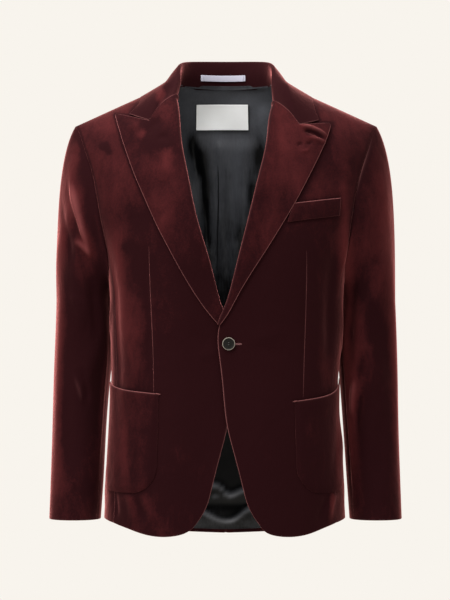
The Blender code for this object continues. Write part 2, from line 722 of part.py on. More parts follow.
# ---------------------------------------------------------------- pockets
def build_pockets():
    for side, name in ((1, "left"), (-1, "right")):
        size = POCKET[name]
        start, _ = locate(size["front"], size["top_front"])
        angles = (float(start), size["rear"])
        top_to_foot = np.concatenate([np.linspace(0, 0.72, 5), np.array([0.82, 0.9, 0.96, 1.0])])
        rows = []
        for part in top_to_foot:
            line = []
            for u in np.linspace(0, 1, 8):
                upper = size["top_front"] + (size["top_rear"] - size["top_front"]) * u
                height = upper + (size["foot"] - upper) * part
                over = max(0.0, size["corner"] - (height - size["foot"]))
                pull = size["corner"] - math.sqrt(max(size["corner"] ** 2 - over**2, 0.0))
                pull_angle = pull / 150.0 * 57.3
                low, high = angles[0] + pull_angle, angles[1] - pull_angle
                line.append((low + (high - low) * u, float(ring_at_height(height))))
            rows.append(line)
        grid = np.array(rows)[::-1]
        angle, station = grid[..., 0] * side, grid[..., 1]
        outer = front(side, angle, station, LIE + WALL)
        wall("pocket_" + name, outer, outer - body_normal(angle, station) * WALL, "velvet")


def build_welt():
    w = WELT
    columns = np.linspace(0, 1, 7)
    foot = np.stack([w["front"] - w["slant"] + (w["rear"] - w["front"] + w["slant"] - 2) * columns,
                     w["front_foot"] + (w["rear_foot"] - w["front_foot"]) * columns], axis=1)
    top = np.stack([w["front"] + w["slant"] + (w["rear"] - w["front"] - w["slant"]) * columns,
                    w["front_top"] + (w["rear_top"] - w["front_top"]) * columns], axis=1)
    grid = np.array([foot * (1 - t) + top * t for t in (0.0, 0.5, 1.0)])
    angle, station = locate(grid[..., 0], grid[..., 1])
    outer = body(angle, station, LIE + WALL)
    wall("breast_welt", outer, outer - body_normal(angle, station) * WALL, "velvet")


# ---------------------------------------------------------------- lining and trim
def build_lining():
    half = back_grid()
    left = half[:, ::-1]
    right = half[:, 1:] * np.array([-1.0, 1.0])
    whole = np.concatenate([left, right], axis=1)
    angle, station = whole[..., 0], whole[..., 1]
    outer = body(angle, station, -(WALL + LINING_CLEAR))
    outer = inset(outer, LINING_SHORT, ("bottom",))
    outer = inset(outer, 4.0, ("top", "left", "right"))
    wall("lining_back", outer, outer - body_normal(angle, station) * LINING_WALL, "lining")


def build_label():
    columns = np.linspace(LABEL["right"], LABEL["left"], 5)
    rows = np.linspace(LABEL["foot"], LABEL["top"], 3)
    x, z = np.meshgrid(columns, rows)
    angle, station = locate(x, z)
    angle = 180 - angle
    face = body(angle, station, -(WALL + LINING_CLEAR + LINING_WALL + 2.2))
    wall("label", face, face - body_normal(angle, station) * LINING_WALL, "label")


def build_hanger(grid, outward):
    foot, top = grid[0], grid[-1]
    x = (foot[:, 0] + top[:, 0]) / 2
    order = np.argsort(x)
    span = np.linspace(HANGER["right"], HANGER["left"], 6)
    rows = []
    for part in (HANGER["low"], HANGER["high"]):
        line = foot * (1 - part) + top * part - outward * (WALL + LIE)
        rows.append([[s] + [float(np.interp(s, line[order, 0], line[order, k])) for k in (1, 2)] for s in span])
    face = np.array(rows)
    away = np.array([0, 1.0, 0])
    wall("hanger_loop", face, face - away * LINING_WALL, "tape")


def build_button():
    angle, station = locate(BUTTON["x"], BUTTON["z"])
    seat = body(angle, station, LIE)
    axis = body_normal(angle, station)
    across = np.cross(axis, np.array([0, 0, 1.0]))
    across /= np.linalg.norm(across)
    upward = np.cross(across, axis)
    r, thick, rim, dish = (BUTTON[k] for k in ("radius", "thick", "rim", "dish"))
    profile = ((r * 0.55, 0.0), (r - 0.8, 0.5), (r, thick * 0.5), (r - 0.5, thick - 0.3), (r - rim * 0.6, thick),
               (r - rim, thick - 0.2), (r - rim - 0.9, thick - dish))
    count = 20
    points, faces = [], []
    for radius, height in profile:
        for k in range(count):
            turn = 2 * math.pi * k / count
            points.append(seat + axis * height + (across * math.cos(turn) + upward * math.sin(turn)) * radius)
    for i in range(len(profile) - 1):
        for k in range(count):
            a, b = i * count + k, i * count + (k + 1) % count
            faces.append((a, b, b + count, a + count))
    faces.append(tuple(range(count))[::-1])
    faces.append(tuple(range((len(profile) - 1) * count, len(profile) * count)))
    add("button", points, faces, "button")


def make_materials():
    made = {}
    for name, (red, green, blue, rough) in COLOURS.items():
        material = bpy.data.materials.new(name)
        material.use_nodes = True
        shader = material.node_tree.nodes["Principled BSDF"]
        shader.inputs["Base Color"].default_value = (red, green, blue, 1)
        shader.inputs["Roughness"].default_value = rough
        shader.inputs["Metallic"].default_value = 0.0
        material.diffuse_color = (red, green, blue, 1)
        made[name] = material
    return made


for old in list(bpy.data.objects):
    bpy.data.objects.remove(old, do_unlink=True)
MATERIALS = make_materials()
ROOT = bpy.data.objects.new("blazer", None)
bpy.context.scene.collection.objects.link(ROOT)
build_body()
build_sleeves()
build_lapels()
neck_fold = build_collar()
stand_grid, stand_out = build_stand(neck_fold)
build_pockets()
build_welt()
build_lining()
build_label()
build_hanger(stand_grid, stand_out)
build_button()
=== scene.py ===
"""Looks of the single-button velvet blazer: shells, trim, finishes, light and camera.

Same frame as the model: metres, +Z up, the wearer faces -Y, the wearer's left is
+X. The tables of the form repeat the model's own, in millimetres and degrees, and
are read here on a finer grid. Those of the collar, lapel edges, pocket mouths, welt,
label and under sleeves, and the hang of the left side and the sleeves, are a few
millimetres off the model's. The tables of creases follow, and those of the lay of the
pile, which also carry painted light and shade.
"""

import math

import bpy
import numpy as np
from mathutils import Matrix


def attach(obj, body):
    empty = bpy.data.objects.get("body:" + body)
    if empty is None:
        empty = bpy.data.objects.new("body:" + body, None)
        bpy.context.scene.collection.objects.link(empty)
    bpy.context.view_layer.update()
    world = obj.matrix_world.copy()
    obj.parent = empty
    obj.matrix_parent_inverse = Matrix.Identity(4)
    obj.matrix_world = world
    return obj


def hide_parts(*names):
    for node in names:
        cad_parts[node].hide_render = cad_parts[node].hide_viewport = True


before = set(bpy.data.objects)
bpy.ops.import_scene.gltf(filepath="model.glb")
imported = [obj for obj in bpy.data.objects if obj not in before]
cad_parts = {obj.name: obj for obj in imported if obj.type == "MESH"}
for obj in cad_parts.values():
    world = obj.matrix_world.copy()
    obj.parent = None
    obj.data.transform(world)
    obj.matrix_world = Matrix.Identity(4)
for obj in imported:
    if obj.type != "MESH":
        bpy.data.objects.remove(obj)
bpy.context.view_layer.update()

MM = 0.001

# ================================================================ form
WALL = 2.0
LINING_WALL = 1.0
SEAM_GAP = 0.4
LIE = 0.8
LAPEL_LIE = 1.6
SLEEVE_GAP = {"top": 1.0, "under": 3.2}
UNDERLAP = 8.0

SECTIONS = (
    # height  half   front  back   square slope
    (-700.0, 191.0, 129.0, 125.0, 2.35, 0.000),
    (-644.0, 188.5, 128.0, 123.0, 2.35, 0.000),
    (-536.0, 182.0, 124.0, 117.0, 2.40, 0.000),
    (-439.0, 178.0, 120.0, 106.0, 2.40, 0.000),
    (-364.0, 178.5, 119.0, 102.0, 2.40, 0.000),
    (-280.0, 181.0, 125.0, 108.0, 2.40, 0.000),
    (-199.0, 195.0, 126.0, 117.0, 2.40, 0.108),
    (-132.0, 210.0, 120.0, 121.0, 2.40, 0.197),
    (-62.0, 221.0, 105.0, 117.0, 2.35, 0.290),
    (6.0, 233.0, 78.0, 97.0, 2.30, 0.381),
    (46.0, 237.5, 47.0, 64.0, 2.20, 0.433),
    (63.0, 239.0, 19.0, 27.0, 2.10, 0.457),
    (67.0, 239.3, 0.0, 0.0, 2.00, 0.460),
)
RIDGE_SOFT = 30.0
CENTRE = 2.0

FRONT_EDGE = (
    # height  past the centre line
    (-651.0, -50.0),
    (-630.0, -36.0),
    (-595.0, -24.0),
    (-538.0, -9.0),
    (-505.0, -0.5),
    (-435.0, 7.6),
    (-393.0, 12.6),
    (-364.0, 14.5),
)
ROLL = (
    # height  right  left   (out from the middle)
    (-310.0, 9.5, 1.5),
    (-245.0, 26.3, 18.3),
    (-185.0, 43.8, 33.4),
    (-119.0, 57.5, 49.6),
    (-65.0, 67.4, 61.4),
    (-15.0, 72.0, 69.8),
)
NECK_POINT = 78.0
NECK_DIP = 25.0
FRONT_HEM = (
    # out     height
    (48.0, -651.0),
    (71.0, -665.0),
    (92.0, -668.0),
    (122.0, -665.5),
    (148.0, -658.0),
)
HEM = (
    # angle   height
    (64.0, -650.5),
    (90.0, -647.0),
    (116.0, -657.0),
    (150.0, -674.0),
    (180.0, -680.5),
)
SIDE_SEAM = {"hem": 64.0, "top": 74.0}
BACK_SEAM = {"hem": 116.0, "top": 108.0}
ARMHOLE = (
    # height  front  back   (degrees)
    (-281.0, 0.0, 0.0),
    (-276.0, 7.0, 7.0),
    (-260.0, 13.0, 13.0),
    (-228.0, 17.5, 18.0),
    (-190.0, 20.5, 22.0),
    (-132.0, 24.0, 26.0),
    (-62.0, 24.5, 27.0),
    (6.0, 22.0, 24.0),
    (50.0, 17.5, 18.5),
    (67.0, 14.0, 14.0),
)
SLEEVE = (
    # height  outer  inner  mid y  half depth
    (-310.0, 264.5, 178.0, 44.0, 70.0),
    (-364.0, 267.0, 174.8, 50.0, 69.0),
    (-431.0, 269.5, 178.2, 48.0, 65.0),
    (-510.0, 271.0, 185.5, 36.0, 58.0),
    (-580.0, 272.5, 190.0, 23.0, 52.0),
    (-649.0, 274.5, 194.5, 12.0, 48.0),
)
SLEEVE_SQUARE = 2.2
LEAN = {"in": 4.0, "from": 110.0, "over": 70.0, "below": -372.0, "fade": 76.0}   # the left side hangs in a little
# how far the sleeves hang from the even form: height, outer, inner
SLEEVE_LEAN = {
    -1: ((-310.0, 0.0, 0.0), (-364.0, 0.0, 0.8), (-431.0, 0.0, 2.8), (-510.0, 0.0, 1.6), (-580.0, 0.0, 0.2), (-649.0, 0.0, 0.0)),
    1: ((-310.0, 0.0, 0.0), (-364.0, 0.0, -0.4), (-431.0, -0.8, -0.6), (-510.0, -1.5, -2.4), (-580.0, -1.5, -2.6), (-649.0, -1.5, -2.6)),
}
CAP_OUT = {"top": 94.0, "under": 4.0}    # the under sleeve lies closer than in the model
CAP_DOWN = {"top": 150.0, "under": 14.0}
CAP_END = {"top": 250.0, "under": 26.0}
SLEEVE_SEAMS = {"front": 148.0, "back": 250.0}

LAPEL = {
    "right": (
        # out    height
        (2.0, -356.0),
        (12.0, -346.0),
        (40.8, -310.0),
        (79.3, -243.6),
        (103.5, -196.6),
        (127.7, -143.0),
        (152.5, -80.0),
        (170.0, -25.0),
    ),
    "left": (
        (-9.4, -347.0),
        (0.5, -333.0),
        (17.0, -303.0),
        (57.2, -238.0),
        (81.3, -199.6),
        (105.6, -158.6),
        (129.7, -112.7),
        (149.0, -73.0),
        (161.0, -40.0),
    ),
}
GORGE = {
    "right": {"roll": (75.0, 0.6), "mid": (96.0, -10.5), "notch": (116.0, -38.0), "leaf": (148.0, -27.0)},
    "left": {"roll": (72.0, -10.0), "mid": (90.0, -20.0), "notch": (111.0, -44.6), "leaf": (141.0, -37.0)},
}
ROLL_RISE = 3.5
ROLL_REACH = 22.0

COLLAR = (
    # station     fold x, y, z          crease x, y, z        edge angle, ring height
    ("front",    (74.5, -27.0, 29.5), (94.0, -25.0, 25.0), (32.5, 53.0)),
    ("shoulder", (72.5, 18.0, 56.5), (93.0, 8.0, 28.5), (146.5, 66.8)),
    ("side",     (54.5, 50.0, 62.5), (68.0, 58.0, 40.0), (158.0, 48.0)),
    ("back",     (0.0, 70.0, 64.0), (0.0, 82.0, 42.0), (180.0, 28.0)),
)
COLLAR_SWELL = 2.0
STAND_STEP = 3.2

POCKET = {
    # top at the front, top at the rear, foot, front edge out, rear edge angle
    "right": {"top_front": -452.0, "top_rear": -441.0, "curl": 7.0, "foot": -603.0, "front": 101.0, "rear": 83.0, "corner": 42.0},
    "left": {"top_front": -463.0, "top_rear": -449.0, "curl": 20.0, "foot": -603.0, "front": 103.0, "rear": 83.0, "corner": 42.0},
}
WELT = {"front": 97.0, "rear": 173.5, "front_top": -163.5, "rear_top": -154.5,
        "front_foot": -192.5, "rear_foot": -181.5, "slant": 5.0}
LINING_CLEAR = 2.0
LINING_SLACK = 6.0   # room for the folds of the lining
LINING_SHORT = 6.5
LABEL = {"left": 36.0, "right": -48.0, "top": 2.2, "foot": -38.2}
HANGER = {"left": 30.0, "right": -39.0}
BUTTON = {"x": 4.0, "z": -376.0, "radius": 9.8, "thick": 3.6, "rim": 1.6, "dish": 1.0}

FOLDS = (
    # side  angle  height  half width  half length  lean   rise
    (-1, 52.0, -330.0, 8.0, 130.0, 2.0, 3.0),
    (-1, 66.0, -345.0, 6.0, 120.0, 2.0, -3.0),
    (1, 68.0, -250.0, 6.0, 110.0, 3.0, 3.0),
    (1, 58.0, -330.0, 7.0, 120.0, -2.0, -2.5),
    (-1, 118.0, -380.0, 8.0, 140.0, 4.0, 3.5),
    (1, 122.0, -390.0, 8.0, 140.0, -4.0, 3.5),
    (-1, 148.0, -400.0, 9.0, 150.0, 3.0, -3.0),
    (1, 150.0, -410.0, 9.0, 150.0, -3.0, -3.0),
)
SLEEVE_FOLDS = (
    # side  round  height  half width  half length  twist  rise
    (-1, 40.0, -190.0, 20.0, 90.0, 30.0, 3.0),
    (-1, 78.0, -330.0, 18.0, 80.0, -30.0, -3.5),
    (-1, 110.0, -400.0, 18.0, 70.0, 25.0, 3.0),
    (1, 48.0, -210.0, 20.0, 95.0, -25.0, 3.0),
    (1, 82.0, -345.0, 18.0, 80.0, 30.0, -3.5),
    (1, 112.0, -420.0, 18.0, 70.0, -20.0, 3.0),
    (-1, 290.0, -350.0, 20.0, 80.0, 25.0, -3.5),
    (1, 290.0, -360.0, 20.0, 80.0, -25.0, -3.5),
)

# ---- finer division for the looks ----
ROWS_SEAM, ROWS_HOLE, ROWS_UNDER = 138, 80, 32
RIDGE_CLOSER = 1.35
LAPEL_CLOSER = 1.15
FRONT_COLUMNS, BACK_COLUMNS, NECK_COLUMNS = 86, 50, 18
CAP_ROWS, ARM_ROWS = 58, 86
LAPEL_ROWS, LAPEL_COLUMNS, GORGE_COLUMNS = 220, 62, 31
COLLAR_ROWS = 190

# ================================================================ creases
# Soft ridges (+) and troughs (-) on each panel, seen square on to it:
# start x, z, end x, z, bow to the left of its run, half width, rise
CREASES = {
    "front_right": (
        (-178.0, -180.0, -160.0, -420.0, 6.0, 13.0, 2.2),
        (-150.0, -120.0, -128.0, -225.0, -8.0, 22.0, -2.2),
        (-132.0, -80.0, -150.0, -190.0, 4.0, 15.0, 1.6),
        (-139.0, -300.0, -131.0, -455.0, 4.0, 10.0, 1.6),
        (-122.0, -240.0, -113.0, -455.0, 0.0, 5.0, -1.3),
        (-152.0, -596.0, -138.0, -655.0, 3.0, 7.0, 2.6),
        (-140.0, -598.0, -118.0, -650.0, -3.0, 7.0, -2.2),
        (-128.0, -600.0, -108.0, -655.0, 2.0, 7.0, 2.0),
        (-171.0, -598.0, -166.0, -648.0, 0.0, 5.0, -2.4),
        (-90.0, -420.0, -60.0, -600.0, 8.0, 30.0, 1.6),
        (-60.0, -360.0, -20.0, -380.0, 2.0, 9.0, -1.0),
        (-52.0, -395.0, -8.0, -384.0, -3.0, 8.0, 0.9),
    ),
    "front_left": (
        (186.0, -185.0, 176.0, -400.0, -4.0, 7.0, 3.0),
        (170.0, -215.0, 160.0, -420.0, -3.0, 9.0, -2.2),
        (146.0, -250.0, 140.0, -445.0, 3.0, 11.0, 0.7),
        (122.0, -240.0, 118.0, -455.0, 0.0, 5.0, -1.3),
        (130.0, -60.0, 170.0, -150.0, 6.0, 18.0, -1.8),
        (182.0, -420.0, 168.0, -580.0, 4.0, 6.0, 2.4),
        (172.0, -440.0, 160.0, -590.0, 4.0, 7.0, -1.8),
        (168.0, -598.0, 155.0, -650.0, -3.0, 6.0, 3.4),
        (158.0, -604.0, 136.0, -655.0, 0.0, 7.0, -2.2),
        (60.0, -420.0, 70.0, -620.0, -6.0, 28.0, 1.4),
        (30.0, -382.0, 96.0, -398.0, 4.0, 9.0, -1.0),
        (34.0, -366.0, 90.0, -352.0, -4.0, 10.0, 0.8),
    ),
    "back_right": (
        (-30.0, -300.0, -120.0, -420.0, 8.0, 14.0, -2.6),
        (-60.0, -330.0, -150.0, -470.0, 6.0, 12.0, 2.2),
        (-120.0, -90.0, -60.0, -170.0, -6.0, 16.0, 1.8),
        (-140.0, -140.0, -100.0, -290.0, 5.0, 13.0, -2.4),
        (-70.0, -520.0, -84.0, -660.0, 3.0, 12.0, 2.0),
        (-40.0, -540.0, -48.0, -670.0, -3.0, 11.0, -1.8),
    ),
    "back_left": (
        (34.0, -310.0, 130.0, -410.0, -7.0, 13.0, -2.4),
        (70.0, -340.0, 155.0, -455.0, -5.0, 12.0, 2.0),
        (115.0, -80.0, 66.0, -180.0, 5.0, 17.0, 1.8),
        (146.0, -150.0, 96.0, -300.0, -6.0, 12.0, -2.2),
        (74.0, -500.0, 92.0, -655.0, -3.0, 13.0, 1.8),
        (28.0, -560.0, 40.0, -672.0, 3.0, 10.0, -1.6),
    ),
    # across the side panels: y for x
    "side_right": (
        (-40.0, -300.0, 20.0, -430.0, 4.0, 10.0, 1.8),
        (20.0, -310.0, -30.0, -500.0, -5.0, 11.0, -2.0),
        (-20.0, -540.0, 10.0, -640.0, 3.0, 9.0, 1.8),
    ),
    "side_left": (
        (-36.0, -310.0, 26.0, -440.0, -4.0, 10.0, 1.6),
        (24.0, -320.0, -28.0, -480.0, 5.0, 11.0, -2.0),
        (-14.0, -520.0, 14.0, -640.0, -3.0, 10.0, 1.6),
    ),
    # lapels: out from the middle for x
    "lapel_right": (
        (96.0, -34.0, 122.0, -66.0, 4.0, 7.0, -1.4),
        (128.0, -44.0, 152.0, -52.0, 2.0, 6.0, 1.2),
        (84.0, -70.0, 104.0, -64.0, 3.0, 5.0, -1.2),
        (70.0, -120.0, 92.0, -230.0, 6.0, 18.0, 1.4),
        (100.0, -110.0, 84.0, -190.0, -5.0, 13.0, -1.2),
    ),
    "lapel_left": (
        (106.0, -44.0, 158.0, -66.0, 4.0, 3.0, 5.0),
        (114.0, -52.0, 152.0, -67.0, 3.0, 3.4, -4.6),
        (120.0, -62.0, 156.0, -74.0, 2.0, 3.0, 2.8),
        (106.0, -77.0, 118.0, -75.0, 2.0, 2.8, -1.8),
        (119.0, -72.0, 131.0, -70.0, -2.0, 2.6, -1.6),
        (108.0, -84.0, 128.0, -82.0, -2.0, 2.8, 1.4),
        (66.0, -90.0, 84.0, -210.0, 5.0, 17.0, 1.3),
        (92.0, -120.0, 76.0, -220.0, 4.0, 12.0, -1.1),
    ),
    # lining: ridges stand in towards the wearer
    "lining": (
        (-60.0, -10.0, -34.0, -150.0, -4.0, 9.0, -6.0),
        (-34.0, -140.0, -33.0, -250.0, 2.0, 7.0, -5.5),
        (-46.0, -60.0, -24.0, -200.0, 4.0, 8.0, 4.0),
        (6.0, -60.0, 14.0, -200.0, -3.0, 9.0, 4.0),
        (30.0, -60.0, 24.0, -230.0, 3.0, 9.0, -4.5),
        (-4.0, -180.0, 2.0, -330.0, 2.0, 7.0, 3.5),
        (44.0, -110.0, 40.0, -260.0, -3.0, 10.0, 3.0),
        (-70.0, -160.0, -58.0, -300.0, 4.0, 10.0, 3.0),
        (-120.0, -200.0, -110.0, -420.0, 5.0, 14.0, 3.5),
        (110.0, -190.0, 118.0, -430.0, -5.0, 14.0, 3.5),
        (-60.0, -420.0, -70.0, -590.0, 4.0, 14.0, -4.0),
        (66.0, -400.0, 60.0, -580.0, -4.0, 14.0, -4.0),
    ),
}
# wavy folds of the lining over its hem: heights across the back
HEM_WAVES = (
    # x,     upper fold, lower fold
    (-160.0, -612.0, -650.0),
    (-100.0, -604.0, -655.0),
    (-58.0, -611.0, -640.0),
    (-34.0, -601.0, -648.0),
    (-21.0, -603.0, -655.0),
    (-10.0, -606.0, -660.0),
    (0.0, -617.0, -662.0),
    (11.0, -619.0, -660.0),
    (24.0, -613.0, -651.0),
    (36.0, -610.0, -642.0),
    (64.0, -616.0, -646.0),
    (105.0, -607.0, -654.0),
    (160.0, -613.0, -650.0),
)
# sleeves: round from the top in degrees for x
SLEEVE_CREASES = {
    -1: (
        (20.0, -106.0, 107.0, -248.0, 0.0, 5.5, 6.0),
        (10.0, -150.0, 70.0, -266.0, 5.0, 9.0, -2.4),
        (46.0, -106.0, 126.0, -246.0, 2.0, 9.0, -4.4),
        (62.0, -214.0, 108.0, -246.0, 2.0, 5.0, 3.8),
        (104.0, -262.0, 116.0, -400.0, 5.0, 15.0, -3.6),
        (60.0, -290.0, 92.0, -360.0, 5.0, 9.0, 2.4),
        (74.0, -418.0, 98.0, -478.0, 3.0, 4.0, 1.6),
        (86.0, -410.0, 110.0, -474.0, 3.0, 6.0, -2.2),
        (70.0, -430.0, 86.0, -590.0, -8.0, 16.0, -2.4),
        (36.0, -260.0, 40.0, -600.0, 6.0, 16.0, 1.5),
        (138.0, -330.0, 140.0, -600.0, 4.0, 8.0, 2.2),
        (250.0, -300.0, 306.0, -372.0, 6.0, 12.0, -3.2),
        (262.0, -350.0, 312.0, -420.0, 6.0, 11.0, 2.8),
        (244.0, -410.0, 300.0, -450.0, -6.0, 12.0, -2.8),
        (300.0, -120.0, 270.0, -240.0, -6.0, 14.0, 2.6),
        (320.0, -470.0, 310.0, -620.0, 5.0, 15.0, -1.8),
    ),
    1: (
        (50.0, -130.0, 96.0, -262.0, 5.0, 12.0, 1.2),
        (86.0, -120.0, 124.0, -250.0, 5.0, 10.0, -1.8),
        (118.0, -250.0, 126.0, -420.0, 4.0, 12.0, -2.8),
        (78.0, -280.0, 104.0, -370.0, 5.0, 11.0, 0.9),
        (96.0, -380.0, 126.0, -450.0, -4.0, 9.0, -2.4),
        (112.0, -420.0, 132.0, -500.0, 5.0, 6.0, 2.8),
        (102.0, -440.0, 124.0, -528.0, 4.0, 7.0, -2.2),
        (142.0, -300.0, 140.0, -640.0, 4.0, 7.0, 2.6),
        (152.0, -320.0, 150.0, -630.0, -4.0, 6.0, -2.2),
        (34.0, -200.0, 38.0, -610.0, -6.0, 16.0, 1.6),
        (66.0, -470.0, 78.0, -610.0, 6.0, 17.0, -2.2),
        (250.0, -310.0, 304.0, -384.0, 6.0, 12.0, -3.2),
        (262.0, -360.0, 310.0, -430.0, 6.0, 11.0, 2.6),
        (246.0, -420.0, 300.0, -462.0, -6.0, 12.0, -2.6),
        (304.0, -130.0, 272.0, -250.0, -6.0, 14.0, 2.6),
        (318.0, -460.0, 312.0, -620.0, 5.0, 15.0, -1.8),
    ),
}
DARTS = {
    # x and height from the top down
    -1: ((-116.8, -228.0), (-115.0, -290.0), (-111.0, -380.0), (-109.5, -453.0)),
    1: ((122.0, -235.0), (122.4, -280.0), (119.8, -380.0), (117.0, -459.0)),
}
# brushed and pressed places in the pile, and painted light and shade where the light falls: x, z, half width, half
# height, lighter (+) or darker (-)
NAP_AND_LIGHT = {
    "front_right": (
        (-130.0, -90.0, 110.0, 130.0, 0.18),
        (-40.0, -470.0, 70.0, 170.0, -0.25),
        (-160.0, -140.0, 40.0, 90.0, 0.08),
        (-186.0, -75.0, 8.0, 6.0, -0.8),
        (-178.0, -84.0, 4.0, 4.0, -0.6),
        (-150.0, -230.0, 12.0, 8.0, -0.5),
        (-137.0, -174.0, 22.0, 28.0, -0.1),
        (-176.0, -36.0, 50.0, 22.0, 0.35),
        (-162.0, -300.0, 14.0, 110.0, 0.6),
        (-120.0, -260.0, 22.0, 40.0, -0.2),
        (-140.0, -360.0, 10.0, 60.0, 0.3),
        (-70.0, -480.0, 50.0, 110.0, -0.25),
        (-140.0, -520.0, 24.0, 60.0, 0.3),
    ),
    "front_left": (
        (181.0, -270.0, 8.0, 110.0, 1.0),
        (161.0, -622.0, 5.0, 24.0, 0.8),
        (149.0, -620.0, 6.0, 24.0, -0.4),
        (140.0, -120.0, 40.0, 60.0, 0.25),
        (110.0, -260.0, 24.0, 50.0, -0.3),
        (60.0, -450.0, 90.0, 180.0, -0.5),
        (180.0, -34.0, 50.0, 24.0, 0.4),
        (140.0, -620.0, 50.0, 40.0, -0.3),
        (152.0, -420.0, 16.0, 30.0, 0.3),
    ),
    # collar: seen from the front
    "collar": (
        (-112.0, -10.0, 60.0, 60.0, -0.55),
        (-101.0, 4.0, 11.0, 18.0, 1.1),
        (-130.0, -26.0, 16.0, 12.0, -0.35),
        (108.0, -12.0, 46.0, 60.0, -1.1),
        (94.0, 10.0, 8.0, 16.0, 0.25),
    ),
    "pocket_right": (
        (-102.0, -530.0, 18.0, 90.0, -0.45),
        (-155.0, -540.0, 6.0, 50.0, 0.4),
        (-140.0, -565.0, 8.0, 35.0, -0.2),
    ),
    "pocket_left": (
        (172.0, -530.0, 4.5, 65.0, 0.8),
        (163.0, -520.0, 5.0, 60.0, -0.35),
        (179.0, -560.0, 3.0, 40.0, 0.4),
    ),
    "lapel_right": (
        (100.0, -80.0, 70.0, 90.0, 0.0),
        (90.0, -30.0, 16.0, 20.0, 0.2),
        (112.0, -66.0, 10.0, 10.0, -0.7),
        (126.0, -58.0, 8.0, 7.0, 0.6),
        (94.0, -74.0, 12.0, 5.0, -0.7),
        (88.0, -96.0, 10.0, 18.0, 0.5),
        (104.0, -110.0, 22.0, 20.0, 0.25),
        (92.0, -170.0, 20.0, 50.0, 0.2),
        (50.0, -290.0, 26.0, 40.0, -0.35),
    ),
    "lapel_left": (
        (100.0, -60.0, 50.0, 70.0, 0.35),
        (84.0, -60.0, 10.0, 40.0, 0.4),
        (132.0, -58.0, 12.0, 4.0, -0.4),
        (104.0, -130.0, 16.0, 24.0, 0.3),
        (60.0, -220.0, 18.0, 50.0, 0.25),
        (96.0, -160.0, 12.0, 30.0, -0.05),
    ),
}


RIDGE_LIGHT = 0.11     # painted light: ridges lighter and troughs darker by this for each millimetre that a crease rises
CREST_HIGHLIGHT = 0.03    # and a painted highlight by this on a sharp crest
# sleeves, painted light and shade: round from the top in degrees, height, half turn, half height, lighter (+) or darker
# (-)
SLEEVE_LIGHT = {
    -1: (
        (26.0, -240.0, 24.0, 130.0, 0.45),
        (22.0, -430.0, 24.0, 170.0, 0.75),
        (92.0, -420.0, 34.0, 110.0, -0.6),
        (70.0, -90.0, 40.0, 40.0, -0.35),
        (22.0, -90.0, 14.0, 50.0, 0.5),
        (128.0, -300.0, 14.0, 90.0, -0.35),
        (100.0, -250.0, 22.0, 60.0, 0.25),
        (46.0, -580.0, 30.0, 60.0, 0.4),
    ),
    1: (
        (140.0, -300.0, 30.0, 130.0, 0.9),
        (142.0, -470.0, 25.0, 110.0, 0.9),
        (34.0, -190.0, 34.0, 110.0, 0.15),
        (24.0, -320.0, 20.0, 160.0, 0.9),
        (18.0, -520.0, 20.0, 110.0, 0.4),
        (90.0, -540.0, 32.0, 90.0, -0.4),
    ),
}
# lining, painted light and shade: x, height, half width, half height, lighter (+) or darker (-)
LINING_LIGHT = (
    (10.0, 20.0, 120.0, 70.0, 1.2),
    (20.0, -110.0, 13.0, 60.0, 0.65),
    (2.0, -150.0, 7.0, 50.0, -0.3),
    (-10.0, -90.0, 16.0, 60.0, 0.2),
    (-54.0, -62.0, 8.0, 20.0, -1.3),
    (-41.0, -90.0, 10.0, 24.0, -1.4),
    (-33.0, -136.0, 6.5, 40.0, -1.1),
    (-30.0, -205.0, 4.5, 40.0, -0.8),
    (-52.0, -140.0, 8.0, 34.0, 0.35),
    (54.0, -78.0, 11.0, 34.0, -1.0),
    (42.0, -150.0, 10.0, 40.0, -0.8),
    (26.0, -210.0, 9.0, 40.0, -0.6),
    (0.0, -300.0, 120.0, 100.0, -0.65),
    (0.0, -560.0, 260.0, 170.0, -0.95),
)


class Spline:
    """Smooth curve through rows of values at rising stations."""

    def __init__(self, stations, rows):
        self.t, self.y = np.asarray(stations, float), np.asarray(rows, float)
        if self.y.ndim == 1:
            self.y = self.y[:, None]
        n, step = len(self.t), np.diff(self.t)[:, None]
        system, right = np.eye(n), np.zeros_like(self.y)
        for i in range(1, n - 1):
            a, b = step[i - 1, 0], step[i, 0]
            system[i, i - 1 : i + 2] = a, 2 * (a + b), b
            right[i] = 6 * ((self.y[i + 1] - self.y[i]) / b - (self.y[i] - self.y[i - 1]) / a)
        self.bend = np.linalg.solve(system, right)

    def __call__(self, t):
        t = np.asarray(t, float)
        i = np.clip(np.searchsorted(self.t, t) - 1, 0, len(self.t) - 2)
        h = (self.t[i + 1] - self.t[i])[..., None]
        b = (t - self.t[i])[..., None] / h
        a = 1 - b
        bend = (a**3 - a) * self.bend[i] + (b**3 - b) * self.bend[i + 1]
        return a * self.y[i] + b * self.y[i + 1] + bend * h * h / 6


def along(points):
    points = np.asarray(points, float)
    return np.concatenate([[0], np.cumsum(np.linalg.norm(np.diff(points, axis=0), axis=1))])


def smooth_line(rows, count, closer=1.0):
    station = along(rows)
    curve = Spline(station, rows)
    return even(curve(np.linspace(0, station[-1], 600)), count, closer)


def even(line, count, closer=1.0):
    line = np.asarray(line, float)
    station = along(line)
    want = station[-1] * (1 - (1 - np.linspace(0, 1, count)) ** closer)
    return np.stack([np.interp(want, station, line[:, k]) for k in range(line.shape[1])], axis=1)


def ease(t):
    t = np.clip(t, 0, 1)
    return t * t * (3 - 2 * t)


def ridge_steps(count):
    return 1 - (1 - np.linspace(0, 1, count)) ** RIDGE_CLOSER


def row_heights(low, mid, high):
    lower = np.linspace(low, mid, ROWS_SEAM + 1)
    return np.concatenate([lower, mid + (high - mid) * ridge_steps(ROWS_HOLE + 1)[1:]])


